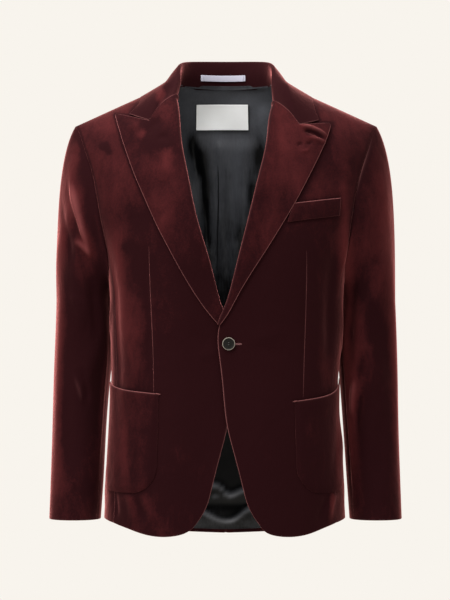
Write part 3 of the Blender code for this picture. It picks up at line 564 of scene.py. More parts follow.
def crease_rise(x, z, rows):
    """Rise of listed creases at points seen square on."""
    rise = np.zeros_like(x)
    for x0, z0, x1, z1, bow, half, amount in rows:
        length = math.hypot(x1 - x0, z1 - z0)
        ux, uz = (x1 - x0) / length, (z1 - z0) / length
        t = ((x - x0) * ux + (z - z0) * uz) / length
        off = (z - z0) * ux - (x - x0) * uz - bow * np.sin(np.pi * np.clip(t, 0, 1))
        rise = rise + amount * np.exp(-((off / half) ** 2)) * ease(t / 0.35) * ease((1 - t) / 0.35)
    return rise


def nap_mark(x, z, rows):
    mark = np.zeros_like(x)
    for x0, z0, wide, tall, amount in rows:
        mark = mark + amount * np.exp(-(((x - x0) / wide) ** 2) - ((z - z0) / tall) ** 2)
    return mark


def shade_near_line(x, z, line, half):
    """One on a line where something lies on the pile, nought well away from it: the spread of painted shade beside it.
    """
    apart = np.full(x.shape, 1e9)
    for px, pz in line:
        apart = np.minimum(apart, (x - px) ** 2 + (z - pz) ** 2)
    return np.exp(-apart / half**2)


# ---------------------------------------------------------------- body form
TABLE = np.array(SECTIONS)
STATION = along(TABLE[:, [0, 2]])
RING = Spline(STATION, TABLE)
TOP = STATION[-1]


def ring_at_height(height):
    low, high = np.zeros_like(np.asarray(height, float)), np.full_like(np.asarray(height, float), TOP)
    for _ in range(44):
        mid = (low + high) / 2
        under = RING(mid)[..., 0] < height
        low, high = np.where(under, mid, low), np.where(under, high, mid)
    return (low + high) / 2


def locate(x, z):
    x, z = np.asarray(x, float), np.asarray(z, float)
    low, high = np.zeros_like(z), np.full_like(z, TOP)
    for _ in range(44):
        mid = (low + high) / 2
        row = RING(mid)
        under = row[..., 0] - row[..., 5] * np.sqrt(x * x + RIDGE_SOFT**2) < z
        low, high = np.where(under, mid, low), np.where(under, high, mid)
    station = (low + high) / 2
    row = RING(station)
    reach = np.clip(np.abs(x) / row[..., 1], 0, 1) ** (row[..., 4] / 2)
    return np.degrees(np.arcsin(reach)) * np.sign(x), station


def plain_body(angle, station):
    row = RING(station)
    turn = np.radians(angle)
    sine, cosine, power = np.sin(turn), np.cos(turn), 2 / row[..., 4]
    x = row[..., 1] * np.sign(sine) * np.abs(sine) ** power
    depth = np.where(cosine > 0, row[..., 2], row[..., 3])
    y = -depth * np.sign(cosine) * np.abs(cosine) ** power
    z = row[..., 0] - row[..., 5] * np.sqrt(x * x + RIDGE_SOFT**2)
    x = x - LEAN["in"] * ease((x - LEAN["from"]) / LEAN["over"]) * ease((LEAN["below"] - z) / LEAN["fade"])
    return np.stack([x, y, z], axis=-1)


def body_normal(angle, station):
    step_a, step_s = 0.4, 1.5
    angle, station = np.asarray(angle, float), np.asarray(station, float)
    round_way = plain_body(angle + step_a, station) - plain_body(angle - step_a, station)
    up = plain_body(angle, np.minimum(station + step_s, TOP)) - plain_body(angle, station - step_s)
    out = np.cross(round_way, up)
    out /= np.maximum(np.linalg.norm(out, axis=-1, keepdims=True), 1e-9)
    out[..., 1] *= ease((TOP - station) / 14)
    return out / np.maximum(np.linalg.norm(out, axis=-1, keepdims=True), 1e-9)


def body_fold(angle, station):
    height = RING(station)[..., 0]
    rise = np.zeros_like(height)
    for side, mid, level, half, length, lean, amount in FOLDS:
        off = (angle * side - mid - lean * (height - level) / length) / half
        run = (height - level) / length
        rise = rise + amount * np.exp(-off * off) * np.exp(-run * run)
    return rise


def body(angle, station, lift=0.0):
    angle, station = np.asarray(angle, float), np.asarray(station, float)
    rise = body_fold(angle, station) + lift
    return plain_body(angle, station) + body_normal(angle, station) * rise[..., None]


def seam_away(angle, station, low, high):
    """Nought on a side seam, one well clear of it."""
    part = np.clip((RING(station)[..., 0] + 648) / 410, 0, 1)
    return ease(np.abs(np.abs(angle) - low - (high - low) * part) / 10)


def underlap(points):
    return -UNDERLAP * ease((points[..., 0] + 92) / 80) * ease((-212 - points[..., 2]) / 75)


def front_lift(side, angle, station):
    """Creases of a front and, for the lower front, how far it lies in."""
    seen = plain_body(angle, station)
    name = "front_left" if side > 0 else "front_right"
    lift = crease_rise(seen[..., 0], seen[..., 2], CREASES[name])
    return lift if side > 0 else lift + underlap(seen)


def front(side, angle, station, lift=0.0):
    angle, station = np.asarray(angle, float), np.asarray(station, float)
    return body(angle, station, front_lift(side, angle, station) + lift)


# ---------------------------------------------------------------- grids
def coons(left, right, bottom, top):
    left, right, bottom, top = (np.asarray(line, float) for line in (left, right, bottom, top))
    u = np.linspace(0, 1, len(bottom))[None, :, None]
    v = np.linspace(0, 1, len(left))[:, None, None]
    ruled = (1 - u) * left[:, None] + u * right[:, None] + (1 - v) * bottom[None] + v * top[None]
    corners = (1 - u) * (1 - v) * left[0] + u * (1 - v) * right[0] + (1 - u) * v * left[-1] + u * v * right[-1]
    return ruled - corners


def inset(grid, amount, sides):
    grid = np.array(grid, float)
    for side in sides:
        view = {"bottom": grid, "top": grid[::-1], "left": grid.swapaxes(0, 1), "right": grid.swapaxes(0, 1)[::-1]}[side]
        way = view[1] - view[0]
        far = np.maximum(np.linalg.norm(way, axis=-1, keepdims=True), 1e-9)
        view[0] += way / far * np.minimum(amount, 0.6 * far)
    return grid


def grid_normal(grid):
    across, up = np.gradient(grid, axis=1), np.gradient(grid, axis=0)
    out = np.cross(across, up)
    return out / np.maximum(np.linalg.norm(out, axis=-1, keepdims=True), 1e-9)


def edge_rows(grid, part=0.4):
    """Adds a line of points close inside each boundary, so the edge turns crisply."""
    for axis in (0, 1):
        grid = np.moveaxis(grid, axis, 0)
        first = grid[:1] * (1 - part) + grid[1:2] * part
        last = grid[-1:] * (1 - part) + grid[-2:-1] * part
        grid = np.moveaxis(np.concatenate([grid[:1], first, grid[1:-1], last, grid[-1:]]), 0, axis)
    return grid


def relax(grid, times, axis=1):
    """Rounds a grid's lines, leaving their ends where they are."""
    grid = np.moveaxis(np.array(grid, float), axis, 0)
    for _ in range(times):
        grid[1:-1] = (grid[:-2] + 2 * grid[1:-1] + grid[2:]) / 4
    return np.moveaxis(grid, 0, axis)


# ---------------------------------------------------------------- boundaries
def seam_line(seam, low, high):
    height = np.linspace(low, high, ROWS_SEAM + 1)
    part = (height - low) / (high - low)
    return np.stack([seam["hem"] + (seam["top"] - seam["hem"]) * part, ring_at_height(height)], axis=1)


def hem_height(angle):
    table = np.array(HEM)
    return Spline(table[:, 0], table[:, 1])(np.clip(angle, table[0, 0], table[-1, 0]))[..., 0]


def hole_line(column, way):
    table = np.array(ARMHOLE)
    height, opening = table[:, 0], table[:, column]
    form = plain_body(90 + way * opening, ring_at_height(height))
    station = along(form)
    curve = Spline(station, np.stack([height, opening], axis=1))(np.linspace(0, station[-1], 900))
    curve[:, 0] = np.clip(curve[:, 0], table[0, 0], table[-1, 0])
    return np.stack([90 + way * curve[:, 1], ring_at_height(curve[:, 0])], axis=1)


def split_hole(line, angle, way, upper, lower):
    spot = int(np.argmax(way * (line[:, 0] - angle) > 0))
    form = plain_body(line[:, 0], line[:, 1])

    def read(a, b, steps):
        station = along(form[a:b])
        return np.stack([np.interp(steps * station[-1], station, line[a:b, k]) for k in range(2)], axis=1)

    return read(0, spot + 1, np.linspace(0, 1, lower)), read(spot, len(line), ridge_steps(upper))


FRONT_HOLE_LOW, FRONT_HOLE = split_hole(hole_line(1, -1), SIDE_SEAM["top"], -1, ROWS_HOLE + 1, ROWS_UNDER // 2 + 1)
BACK_HOLE_LOW, BACK_HOLE = split_hole(hole_line(2, 1), BACK_SEAM["top"], 1, ROWS_HOLE + 1, ROWS_UNDER // 2 + 1)
FRONT_SEAM_LINE = seam_line(
    {"hem": SIDE_SEAM["hem"], "top": FRONT_HOLE[0, 0]}, float(hem_height(SIDE_SEAM["hem"])), float(RING(FRONT_HOLE[0, 1])[0]))
BACK_SEAM_LINE = seam_line(
    {"hem": BACK_SEAM["hem"], "top": BACK_HOLE[0, 0]}, float(hem_height(BACK_SEAM["hem"])), float(RING(BACK_HOLE[0, 1])[0]))
SHOULDER_TIP = FRONT_HOLE[-1]
MID_ROW = -262.0
NECK_ANGLE = math.degrees(math.asin((NECK_POINT / TABLE[-1, 1]) ** (TABLE[-1, 4] / 2)))
ROLL_TURN = 3.0      # room that the turn of a lapel takes at its roll line
ROLL_TUCK = 4.0      # a front's own edge lies this far inside that turn


def front_grid(side):
    name = "left" if side > 0 else "right"
    column = 2 if side > 0 else 1
    edge = [(-(lap - CENTRE * side), height) for height, lap in FRONT_EDGE]
    ridge = float(plain_body(NECK_ANGLE, TOP)[2])
    roll = [(row[column], row[0]) for row in ROLL] + [(NECK_POINT, ridge)]
    line = np.array(edge + roll)
    height = row_heights(line[0, 1], MID_ROW, ridge)
    out = Spline(line[:, 1], line[:, 0])(height)[:, 0]
    out = out + ROLL_TUCK * ease((height + 338) / 26) * ease((ridge - height) / 30)
    left = np.stack(locate(out, height), axis=1)
    left[-1] = NECK_ANGLE, TOP
    right = np.concatenate([FRONT_SEAM_LINE, FRONT_HOLE[1:]])
    hem = np.array([left[0]] * 1 + [np.array(locate(x, z)) for x, z in FRONT_HEM[1:]] + [right[0]])
    bottom = even(smooth_line(hem * (1, 1), 60), FRONT_COLUMNS + 1)
    top = np.stack([np.linspace(NECK_ANGLE, SHOULDER_TIP[0], FRONT_COLUMNS + 1), np.full(FRONT_COLUMNS + 1, TOP)], axis=1)
    return coons(left, right, bottom, top), name


def back_grid():
    right = np.concatenate([BACK_SEAM_LINE, BACK_HOLE[1:]])
    low, high = float(hem_height(180.0)), NECK_DIP + RING(ring_at_height(NECK_DIP + 12))[5] * RIDGE_SOFT
    height = row_heights(low, MID_ROW, float(high))
    left = np.stack([np.full(len(height), 180.0), ring_at_height(height)], axis=1)
    span = np.linspace(180.0, right[0, 0], BACK_COLUMNS + 1)
    bottom = np.stack([span, ring_at_height(hem_height(span))], axis=1)
    out = np.linspace(0, NECK_POINT, NECK_COLUMNS + 1)[1:-1]
    angle, station = locate(out, NECK_DIP + 4.0 * (out / NECK_POINT) ** 2)
    neck = [left[-1]] + [np.array((180 - a, s)) for a, s in zip(angle, station)] + [np.array((180 - NECK_ANGLE, TOP))]
    shoulder = np.linspace(180 - NECK_ANGLE, right[-1, 0], BACK_COLUMNS - NECK_COLUMNS + 1)[1:]
    top = np.array(neck + [np.array((a, TOP)) for a in shoulder])
    return coons(left, right, bottom, top)


def side_grid():
    top = np.concatenate([FRONT_HOLE_LOW[::-1], BACK_HOLE_LOW[1:]])
    span = np.linspace(FRONT_SEAM_LINE[0, 0], BACK_SEAM_LINE[0, 0], len(top))
    bottom = np.stack([span, ring_at_height(hem_height(span))], axis=1)
    return coons(FRONT_SEAM_LINE, BACK_SEAM_LINE, bottom, top)


# ================================================================ finishes
def nodes_of(name):
    material = bpy.data.materials.new(name)
    material.use_nodes = True
    tree = material.node_tree
    return material, tree, tree.nodes["Principled BSDF"]


def node(tree, kind, **values):
    made = tree.nodes.new(kind)
    for key, value in values.items():
        if key.startswith("in_"):
            made.inputs[key[3:].replace("_", " ")].default_value = value
        else:
            setattr(made, key, value)
    return made


def noise(tree, where, scale, detail=2.0, rough=0.5, twist=0.0):
    made = node(tree, "ShaderNodeTexNoise", in_Scale=scale, in_Detail=detail, in_Roughness=rough, in_Distortion=twist)
    tree.links.new(where, made.inputs["Vector"])
    return made.outputs["Fac"]


def math_node(tree, kind, a, b=None, clamp=False):
    made = node(tree, "ShaderNodeMath", operation=kind, use_clamp=clamp)
    for spot, value in enumerate((a, b)):
        if value is None:
            continue
        if isinstance(value, (int, float)):
            made.inputs[spot].default_value = value
        else:
            tree.links.new(value, made.inputs[spot])
    return made.outputs[0]


def mix_colour(tree, share, a, b):
    made = node(tree, "ShaderNodeMix", data_type="RGBA", clamp_factor=True)
    tree.links.new(share, made.inputs["Factor"])
    for spot, value in ((6, a), (7, b)):
        if isinstance(value, tuple):
            made.inputs[spot].default_value = (*value, 1)
        else:
            tree.links.new(value, made.inputs[spot])
    return made.outputs[2]


def bump(tree, height, strength, distance, before=None):
    made = node(tree, "ShaderNodeBump", in_Strength=strength, in_Distance=distance)
    tree.links.new(height, made.inputs["Height"])
    if before is not None:
        tree.links.new(before, made.inputs["Normal"])
    return made.outputs["Normal"]


def mapped(tree, scale=(1, 1, 1), turn=(0, 0, 0)):
    where = node(tree, "ShaderNodeTexCoord").outputs["Object"]
    made = node(tree, "ShaderNodeMapping")
    made.inputs["Scale"].default_value = scale
    made.inputs["Rotation"].default_value = turn
    tree.links.new(where, made.inputs["Vector"])
    return made.outputs["Vector"]


VELVET = {
    "pile": (0.0090, 0.0020, 0.0026),     # looking into the pile
    "brushed": (0.0550, 0.0100, 0.0106),  # pile laid the other way
    "edge": (0.1700, 0.0660, 0.0660),     # painted sheen highlight over an edge
    "sheen": (1.0, 0.310, 0.302),
    "sheen_weight": 0.40,
    "sheen_rough": 0.30,
}


def make_velvet():
    material, tree, shader = nodes_of("velvet_pile")
    link = tree.links.new
    plain = mapped(tree)
    drawn = mapped(tree, (1.0, 1.0, 0.45))
    broad = noise(tree, plain, 15.0, 3.0, 0.55, 0.4)
    streak = noise(tree, drawn, 62.0, 5.0, 0.64, 0.7)
    fine = noise(tree, plain, 520.0, 2.0, 0.6)
    pile = noise(tree, plain, 1500.0, 1.0, 0.5)
    lay_and_light = math_node(tree, "MULTIPLY_ADD", broad, 0.4)
    lay_and_light.node.inputs[2].default_value = -0.15
    lay_and_light = math_node(tree, "ADD", lay_and_light, math_node(tree, "MULTIPLY", math_node(tree, "SUBTRACT", streak, 0.5), 0.55))
    lay_and_light = math_node(tree, "ADD", lay_and_light, math_node(tree, "MULTIPLY", math_node(tree, "SUBTRACT", fine, 0.5), 0.5))
    # nap: brushed and pressed places of the pile, together with painted light and shade
    nap_and_painted_light = node(tree, "ShaderNodeAttribute", attribute_name="nap_and_painted_light").outputs["Fac"]
    lay_and_light = math_node(tree, "ADD", lay_and_light, math_node(tree, "MULTIPLY", nap_and_painted_light, 0.75), clamp=True)
    colour = mix_colour(tree, lay_and_light, VELVET["pile"], VELVET["brushed"])
    # rim: painted sheen highlight over edges and crests, broken by the streaks
    rim = node(tree, "ShaderNodeAttribute", attribute_name="rim").outputs["Fac"]
    edge_highlight = math_node(tree, "MULTIPLY", rim, math_node(tree, "ADD", math_node(tree, "MULTIPLY", streak, 0.7), 0.6), clamp=True)
    colour = mix_colour(tree, edge_highlight, colour, VELVET["edge"])
    link(colour, shader.inputs["Base Color"])
    rough = math_node(tree, "ADD", math_node(tree, "MULTIPLY", fine, 0.16), 0.78)
    link(rough, shader.inputs["Roughness"])
    normal = bump(tree, broad, 0.20, 0.010)
    normal = bump(tree, streak, 0.30, 0.0024, normal)
    normal = bump(tree, fine, 0.22, 0.0006, normal)
    normal = bump(tree, pile, 0.20, 0.0002, normal)
    link(normal, shader.inputs["Normal"])
    shader.inputs["Specular IOR Level"].default_value = 0.01
    shader.inputs["Sheen Weight"].default_value = VELVET["sheen_weight"]
    shader.inputs["Sheen Roughness"].default_value = VELVET["sheen_rough"]
    shader.inputs["Sheen Tint"].default_value = (*VELVET["sheen"], 1)
    return material


def make_satin(name, dark, light, rough, thread, gloss):
    """Smooth woven cloth: fine diagonal twill, with slight shading along the threads; painted light and shade and
    painted highlights on crests come from the attributes.
    """
    material, tree, shader = nodes_of(name)
    link = tree.links.new
    plain = mapped(tree)
    slant = mapped(tree, (1.0, 1.0, 1.0), (0.0, math.radians(38), 0.0))
    twill = node(tree, "ShaderNodeTexWave", wave_type="BANDS", bands_direction="X", in_Scale=thread, in_Distortion=0.6, in_Detail=1.0)
    link(slant, twill.inputs["Vector"])
    cloud = noise(tree, plain, 26.0, 3.0, 0.55, 0.3)
    slub = noise(tree, mapped(tree, (1.0, 1.0, 0.12)), 420.0, 2.0, 0.6)
    share = math_node(tree, "ADD", math_node(tree, "MULTIPLY", cloud, 0.45), math_node(tree, "MULTIPLY", slub, 0.3))
    nap_and_painted_light = node(tree, "ShaderNodeAttribute", attribute_name="nap_and_painted_light").outputs["Fac"]
    share = math_node(tree, "ADD", share, math_node(tree, "MULTIPLY", nap_and_painted_light, 0.5), clamp=True)
    crest_highlight = node(tree, "ShaderNodeAttribute", attribute_name="rim").outputs["Fac"]
    link(mix_colour(tree, crest_highlight, mix_colour(tree, share, dark, light), light), shader.inputs["Base Color"])
    link(math_node(tree, "ADD", math_node(tree, "MULTIPLY", slub, 0.14), rough - 0.07), shader.inputs["Roughness"])
    normal = bump(tree, cloud, 0.10, 0.003)
    normal = bump(tree, twill.outputs["Fac"], 0.16, 0.0002, normal)
    link(bump(tree, slub, 0.12, 0.0002, normal), shader.inputs["Normal"])
    shader.inputs["Specular IOR Level"].default_value = gloss
    return material


def make_tape(name, dark, light, rough, rib):
    """Close woven tape or label cloth with ribs across it."""
    material, tree, shader = nodes_of(name)
    link = tree.links.new
    plain = mapped(tree)
    ribs = node(tree, "ShaderNodeTexWave", wave_type="BANDS", bands_direction="Z", in_Scale=rib, in_Distortion=0.3, in_Detail=1.0)
    link(plain, ribs.inputs["Vector"])
    ends = node(tree, "ShaderNodeTexWave", wave_type="BANDS", bands_direction="X", in_Scale=rib * 0.8, in_Distortion=0.3, in_Detail=1.0)
    link(plain, ends.inputs["Vector"])
    weave = math_node(tree, "MULTIPLY", ribs.outputs["Fac"], ends.outputs["Fac"])
    cloud = noise(tree, plain, 40.0, 2.0)
    share = math_node(tree, "ADD", math_node(tree, "MULTIPLY", weave, 0.55), math_node(tree, "MULTIPLY", cloud, 0.4), clamp=True)
    link(mix_colour(tree, share, dark, light), shader.inputs["Base Color"])
    link(math_node(tree, "ADD", math_node(tree, "MULTIPLY", cloud, 0.1), rough), shader.inputs["Roughness"])
    link(bump(tree, weave, 0.25, 0.0002), shader.inputs["Normal"])
    shader.inputs["Specular IOR Level"].default_value = 0.3
    return material


def make_horn():
    """Dark resin with faint grain, and a painted highlight along the rim."""
    material, tree, shader = nodes_of("button_resin")
    link = tree.links.new
    grain = noise(tree, mapped(tree, (1.0, 1.0, 0.25)), 380.0, 4.0, 0.65, 1.2)
    rim = node(tree, "ShaderNodeAttribute", attribute_name="rim").outputs["Fac"]
    colour = mix_colour(tree, grain, (0.002, 0.002, 0.002), (0.009, 0.009, 0.008))
    link(mix_colour(tree, rim, colour, (0.22, 0.20, 0.17)), shader.inputs["Base Color"])
    link(math_node(tree, "ADD", math_node(tree, "MULTIPLY", grain, 0.14), 0.34), shader.inputs["Roughness"])
    link(bump(tree, grain, 0.06, 0.0002), shader.inputs["Normal"])
    shader.inputs["Specular IOR Level"].default_value = 0.05
    return material


def make_thread(name, dark, light):
    material, tree, shader = nodes_of(name)
    link = tree.links.new
    twist = noise(tree, mapped(tree), 1400.0, 2.0)
    link(mix_colour(tree, twist, dark, light), shader.inputs["Base Color"])
    link(math_node(tree, "ADD", math_node(tree, "MULTIPLY", twist, 0.2), 0.5), shader.inputs["Roughness"])
    link(bump(tree, twist, 0.3, 0.0002), shader.inputs["Normal"])
    shader.inputs["Specular IOR Level"].default_value = 0.3
    return material


MATERIALS = {
    "velvet": make_velvet(),
    "lining": make_satin("lining_satin", (0.0016, 0.0017, 0.0020), (0.0680, 0.0715, 0.0830), 0.32, 520.0, 0.07),
    "label": make_tape("label_weave", (0.76, 0.780, 0.80), (0.88, 0.900, 0.92), 0.55, 700.0),
    "tape": make_tape("tape_weave", (0.205, 0.203, 0.25), (0.29, 0.286, 0.352), 0.6, 620.0),
    "button": make_horn(),
    "thread": make_thread("thread_twist", (0.050, 0.016, 0.018), (0.140, 0.052, 0.054)),
    "dark_thread": make_thread("thread_dark", (0.006, 0.006, 0.006), (0.022, 0.021, 0.019)),
}


# ================================================================ shells
MADE = {}


def add_mesh(name, points, faces, finishes, slots, rim=None, nap_and_painted_light=None):
    mesh = bpy.data.meshes.new(name)
    mesh.from_pydata((np.asarray(points) * MM).tolist(), [], faces)
    for finish in finishes:
        mesh.materials.append(MATERIALS[finish])
    mesh.polygons.foreach_set("material_index", np.asarray(slots, dtype=np.int32))
    mesh.shade_smooth()
    for label, values in (("rim", rim), ("nap_and_painted_light", nap_and_painted_light)):
        if values is not None:
            layer = mesh.attributes.new(label, "FLOAT", "POINT")
            layer.data.foreach_set("value", np.asarray(values, dtype=np.float32))
    piece = bpy.data.objects.new(name, mesh)
    bpy.context.scene.collection.objects.link(piece)
    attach(piece, "root")
    MADE[name] = piece
    return piece


def perimeter(rows, columns):
    i = [0] * columns + list(range(1, rows)) + [rows - 1] * (columns - 1) + list(range(rows - 2, 0, -1))
    j = list(range(columns)) + [columns - 1] * (rows - 1) + list(range(columns - 2, -1, -1)) + [0] * (rows - 2)
    return np.array(i), np.array(j)


def shell(name, outer, inner, finish="velvet", other=None, rims=None, nap_and_painted_light=None, mark=None, lined=None, full=1.0, steps=5):
    """Closed thin cloth between two grids, its edges rounded over.

    rims gives how much painted sheen highlight each edge gets, mark the same inside the grid,
    lined where the inner face shows another finish."""
    rows, columns = outer.shape[:2]
    nap_and_painted_light = np.zeros((rows, columns)) if nap_and_painted_light is None else nap_and_painted_light
    mark = np.zeros((rows, columns)) if mark is None else mark
    lined = np.zeros((rows, columns)) if lined is None else lined.astype(float)
    outer, inner = edge_rows(outer), edge_rows(inner)
    nap_and_painted_light, mark, lined = (edge_rows(field[..., None])[..., 0] for field in (nap_and_painted_light, mark, lined))
    rows, columns = outer.shape[:2]
    deep = rows * columns
    weights = {"bottom": 0.5, "top": 0.5, "left": 0.5, "right": 0.5, **(rims or {})}
    side_weight = np.zeros((rows, columns))
    for view, side in ((side_weight, "bottom"), (side_weight[::-1], "top"), (side_weight.T, "left"), (side_weight.T[::-1], "right")):
        view[0] = np.maximum(view[0], weights[side])
    inside = np.zeros((rows, columns))
    for view, side in ((inside, "bottom"), (inside[::-1], "top"), (inside.T, "left"), (inside.T[::-1], "right")):
        view[1] = np.maximum(view[1], weights[side] * 0.22)
    rim_outer = np.maximum(np.maximum(side_weight * 0.22, inside * 0.1), mark)
    pi, pj = perimeter(rows, columns)
    half, mid = (outer - inner) / 2, (outer + inner) / 2
    thick = np.linalg.norm(half, axis=-1, keepdims=True)
    unit = half / np.maximum(thick, 1e-9)
    way = mid[pi, pj] - mid[np.clip(pi, 1, rows - 2), np.clip(pj, 1, columns - 2)]
    way -= unit[pi, pj] * (way * unit[pi, pj]).sum(axis=-1, keepdims=True)
    way /= np.maximum(np.linalg.norm(way, axis=-1, keepdims=True), 1e-9)
    points = [outer.reshape(-1, 3), inner.reshape(-1, 3)]
    rim = [rim_outer.reshape(-1), (side_weight * 0.3).reshape(-1)]
    laid_and_lit = [nap_and_painted_light.reshape(-1), np.zeros(deep)]
    for k in range(1, steps):
        turn = math.pi * k / steps
        points.append(mid[pi, pj] + half[pi, pj] * math.cos(turn) + way * thick[pi, pj] * full * math.sin(turn))
        rim.append(side_weight[pi, pj] * (1.0 if turn < 2.2 else 0.5))
        laid_and_lit.append(nap_and_painted_light[pi, pj])
    points = np.concatenate(points)
    i, j = (grid.reshape(-1) for grid in np.meshgrid(np.arange(rows - 1), np.arange(columns - 1), indexing="ij"))
    a = i * columns + j
    front_faces = np.stack([a, a + 1, a + 1 + columns, a + columns], axis=1)
    back_faces = front_faces[:, ::-1] + deep
    path, count = pi * columns + pj, len(pi)
    levels = [path] + [2 * deep + (k - 1) * count + np.arange(count) for k in range(1, steps)] + [path + deep]
    rim_faces = []
    for low, high in zip(levels, levels[1:]):
        rim_faces.append(np.stack([np.roll(low, -1), low, high, np.roll(high, -1)], axis=1))
    faces = np.concatenate([front_faces, back_faces] + rim_faces)
    corner = points[front_faces]
    facing = (np.cross(corner[:, 2] - corner[:, 0], corner[:, 3] - corner[:, 1]) * half.reshape(-1, 3)[a]).sum()
    if facing < 0:
        faces = faces[:, ::-1]
    backing = (lined[i, j] + lined[i + 1, j + 1] > 1.0).astype(int)
    slots = np.concatenate([np.zeros(len(front_faces), int), backing, np.zeros(sum(len(f) for f in rim_faces), int)])
    piece = add_mesh(name, points, faces.tolist(), [finish] + ([other] if other else []), slots if other else slots * 0,
                     np.concatenate(rim), np.concatenate(laid_and_lit))
    return piece


def cloth(nodes):
    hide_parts(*nodes)


# ================================================================ body panels
EDGE_ROUND = 1.0     # a panel stops this far short, for its rounded edge
SEAM_SHUT = -0.15    # sewn edges press together
FACING = 62.0        # velvet facing inside the front edge
BACK_DEPTH = 1.5     # folds of the back, against their table
HEM_TURN = {"front": 24.0, "back": 8.0, "cuff": 26.0}   # hem turned up inside


# painted shade beside what lies on a front: half width, how dark beside the lapels, collar, pockets and welt, and a
# wider painted shadow under the lapels
SHADE_BESIDE = {"half": 3.4, "lapel": -0.9, "collar": -0.8, "pocket": -0.3, "welt": -0.2, "shade": -0.3, "shade_half": 10.0}


HOLE_SHADE = {-1: -1.6, 1: -0.9}   # painted shade along the armhole seam
HOLE_SHADE_HALF = 2.6


def front_nap_and_light(side, name, seen):
    """Lay of the pile on a front with painted light: brushed places, painted light and shade, painted shade beside what
    lies on it, and painted light on the creases.
    """
    x, z, half = seen[..., 0] * side, seen[..., 2], SHADE_BESIDE["half"]
    nap_and_painted_light = nap_mark(seen[..., 0], z, NAP_AND_LIGHT["front_" + name])
    gorge, edge = GORGE[name], LAPEL[name]
    free = np.concatenate([smooth_line(edge, 160), even([edge[-1], gorge["notch"]], 20)])
    nap_and_painted_light = nap_and_painted_light + SHADE_BESIDE["lapel"] * shade_near_line(x, z, free, half)
    nap_and_painted_light = nap_and_painted_light + SHADE_BESIDE["shade"] * shade_near_line(x, z, free, SHADE_BESIDE["shade_half"]) * (1.0 if side > 0 else 0.5)
    nap_and_painted_light = nap_and_painted_light + RIDGE_LIGHT * crease_rise(seen[..., 0], z, CREASES["front_" + name])
    shoulder = plain_body(COLLAR[0][3][0], ring_at_height(COLLAR[0][3][1]))
    leaf = np.concatenate([even([gorge["notch"], gorge["leaf"]], 16), even([gorge["leaf"], (shoulder[0], shoulder[2])], 24)])
    nap_and_painted_light = nap_and_painted_light + SHADE_BESIDE["collar"] * shade_near_line(x, z, leaf, half)
    grid = pocket_grid(name)
    ring = np.concatenate([grid[:, 0], grid[0], grid[-1]])
    ring = plain_body(ring[:, 0], ring[:, 1])[:, [0, 2]]
    nap_and_painted_light = nap_and_painted_light + SHADE_BESIDE["pocket"] * shade_near_line(x, z, ring, half)
    if side > 0:
        w = WELT
        box = np.array([(w["front"] - w["slant"], w["front_foot"]), (w["rear"] - 2, w["rear_foot"]), (w["rear"], w["rear_top"]), (w["front"] + w["slant"], w["front_top"])])
        nap_and_painted_light = nap_and_painted_light + SHADE_BESIDE["welt"] * shade_near_line(x, z, even(box, 60), half)
    return nap_and_painted_light


def build_body():
    seam = EDGE_ROUND + SEAM_SHUT
    for side, name in ((1, "left"), (-1, "right")):
        grid, _ = front_grid(side)
        angle, station = grid[..., 0] * side, grid[..., 1]
        seen = plain_body(angle, station)
        outer = inset(inset(front(side, angle, station), seam, ("top", "right")), EDGE_ROUND, ("left", "bottom"))
        inner = outer - body_normal(angle, station) * WALL
        from_edge = np.cumsum(np.pad(np.linalg.norm(np.diff(outer, axis=1), axis=-1), ((0, 0), (1, 0))), axis=1)
        from_hem = np.cumsum(np.pad(np.linalg.norm(np.diff(outer, axis=0), axis=-1), ((1, 0), (0, 0))), axis=0)
        from_hole = from_edge[:, -1:] - from_edge
        lined = (from_edge > FACING) & (from_hem > HEM_TURN["front"])
        # the front's nap carries painted light and shade, and painted shade along the armhole
        piece = shell("front_" + name + "_velvet", outer, inner, other="lining", lined=lined,
                      rims={"left": 0.6, "bottom": 0.25, "top": 0.08, "right": 0.03},
                      nap_and_painted_light=front_nap_and_light(side, name, seen) + HOLE_SHADE[side] * np.exp(-((from_hole / HOLE_SHADE_HALF) ** 2)))
        cloth(["front_" + name])

        grid = side_grid()
        angle, station = grid[..., 0] * side, grid[..., 1]
        seen = plain_body(angle, station)
        lift = crease_rise(seen[..., 1], seen[..., 2], CREASES["side_" + name])
        lift = lift * seam_away(angle, station, SIDE_SEAM["hem"], SIDE_SEAM["top"]) * seam_away(angle, station, BACK_SEAM["hem"], BACK_SEAM["top"])
        lift = lift + crease_rise(seen[..., 0], seen[..., 2], CREASES["front_" + name]) * ease((102 - np.abs(angle)) / 20)
        outer = body(angle, station, lift)
        outer = inset(inset(outer, seam, ("left", "right", "top")), EDGE_ROUND, ("bottom",))
        inner = outer - body_normal(angle, station) * WALL
        from_hem = np.cumsum(np.pad(np.linalg.norm(np.diff(outer, axis=0), axis=-1), ((1, 0), (0, 0))), axis=0)
        piece = shell("side_" + name + "_velvet", outer, inner, other="lining", lined=from_hem > HEM_TURN["back"],
                      rims={"left": 0.1, "right": 0.1, "bottom": 0.3, "top": 0.1})
        cloth(["side_" + name])

        grid = back_grid()
        angle, station = grid[..., 0] * side, grid[..., 1]
        seen = plain_body(angle, station)
        lift = BACK_DEPTH * crease_rise(seen[..., 0], seen[..., 2], CREASES["back_" + name])
        lift = lift * seam_away(angle, station, BACK_SEAM["hem"], BACK_SEAM["top"]) * ease((180 - np.abs(angle)) / 8)
        outer = body(angle, station, lift)
        outer = inset(inset(outer, seam, ("left", "right", "top")), EDGE_ROUND, ("bottom",))
        inner = outer - body_normal(angle, station) * WALL
        # painted light on the back's creases: ridges lighter, troughs darker
        piece = shell("back_" + name + "_velvet", outer, inner, nap_and_painted_light=RIDGE_LIGHT * lift,
                      rims={"left": 0.1, "right": 0.1, "bottom": 0.3, "top": 0.1})
        cloth(["back_" + name])


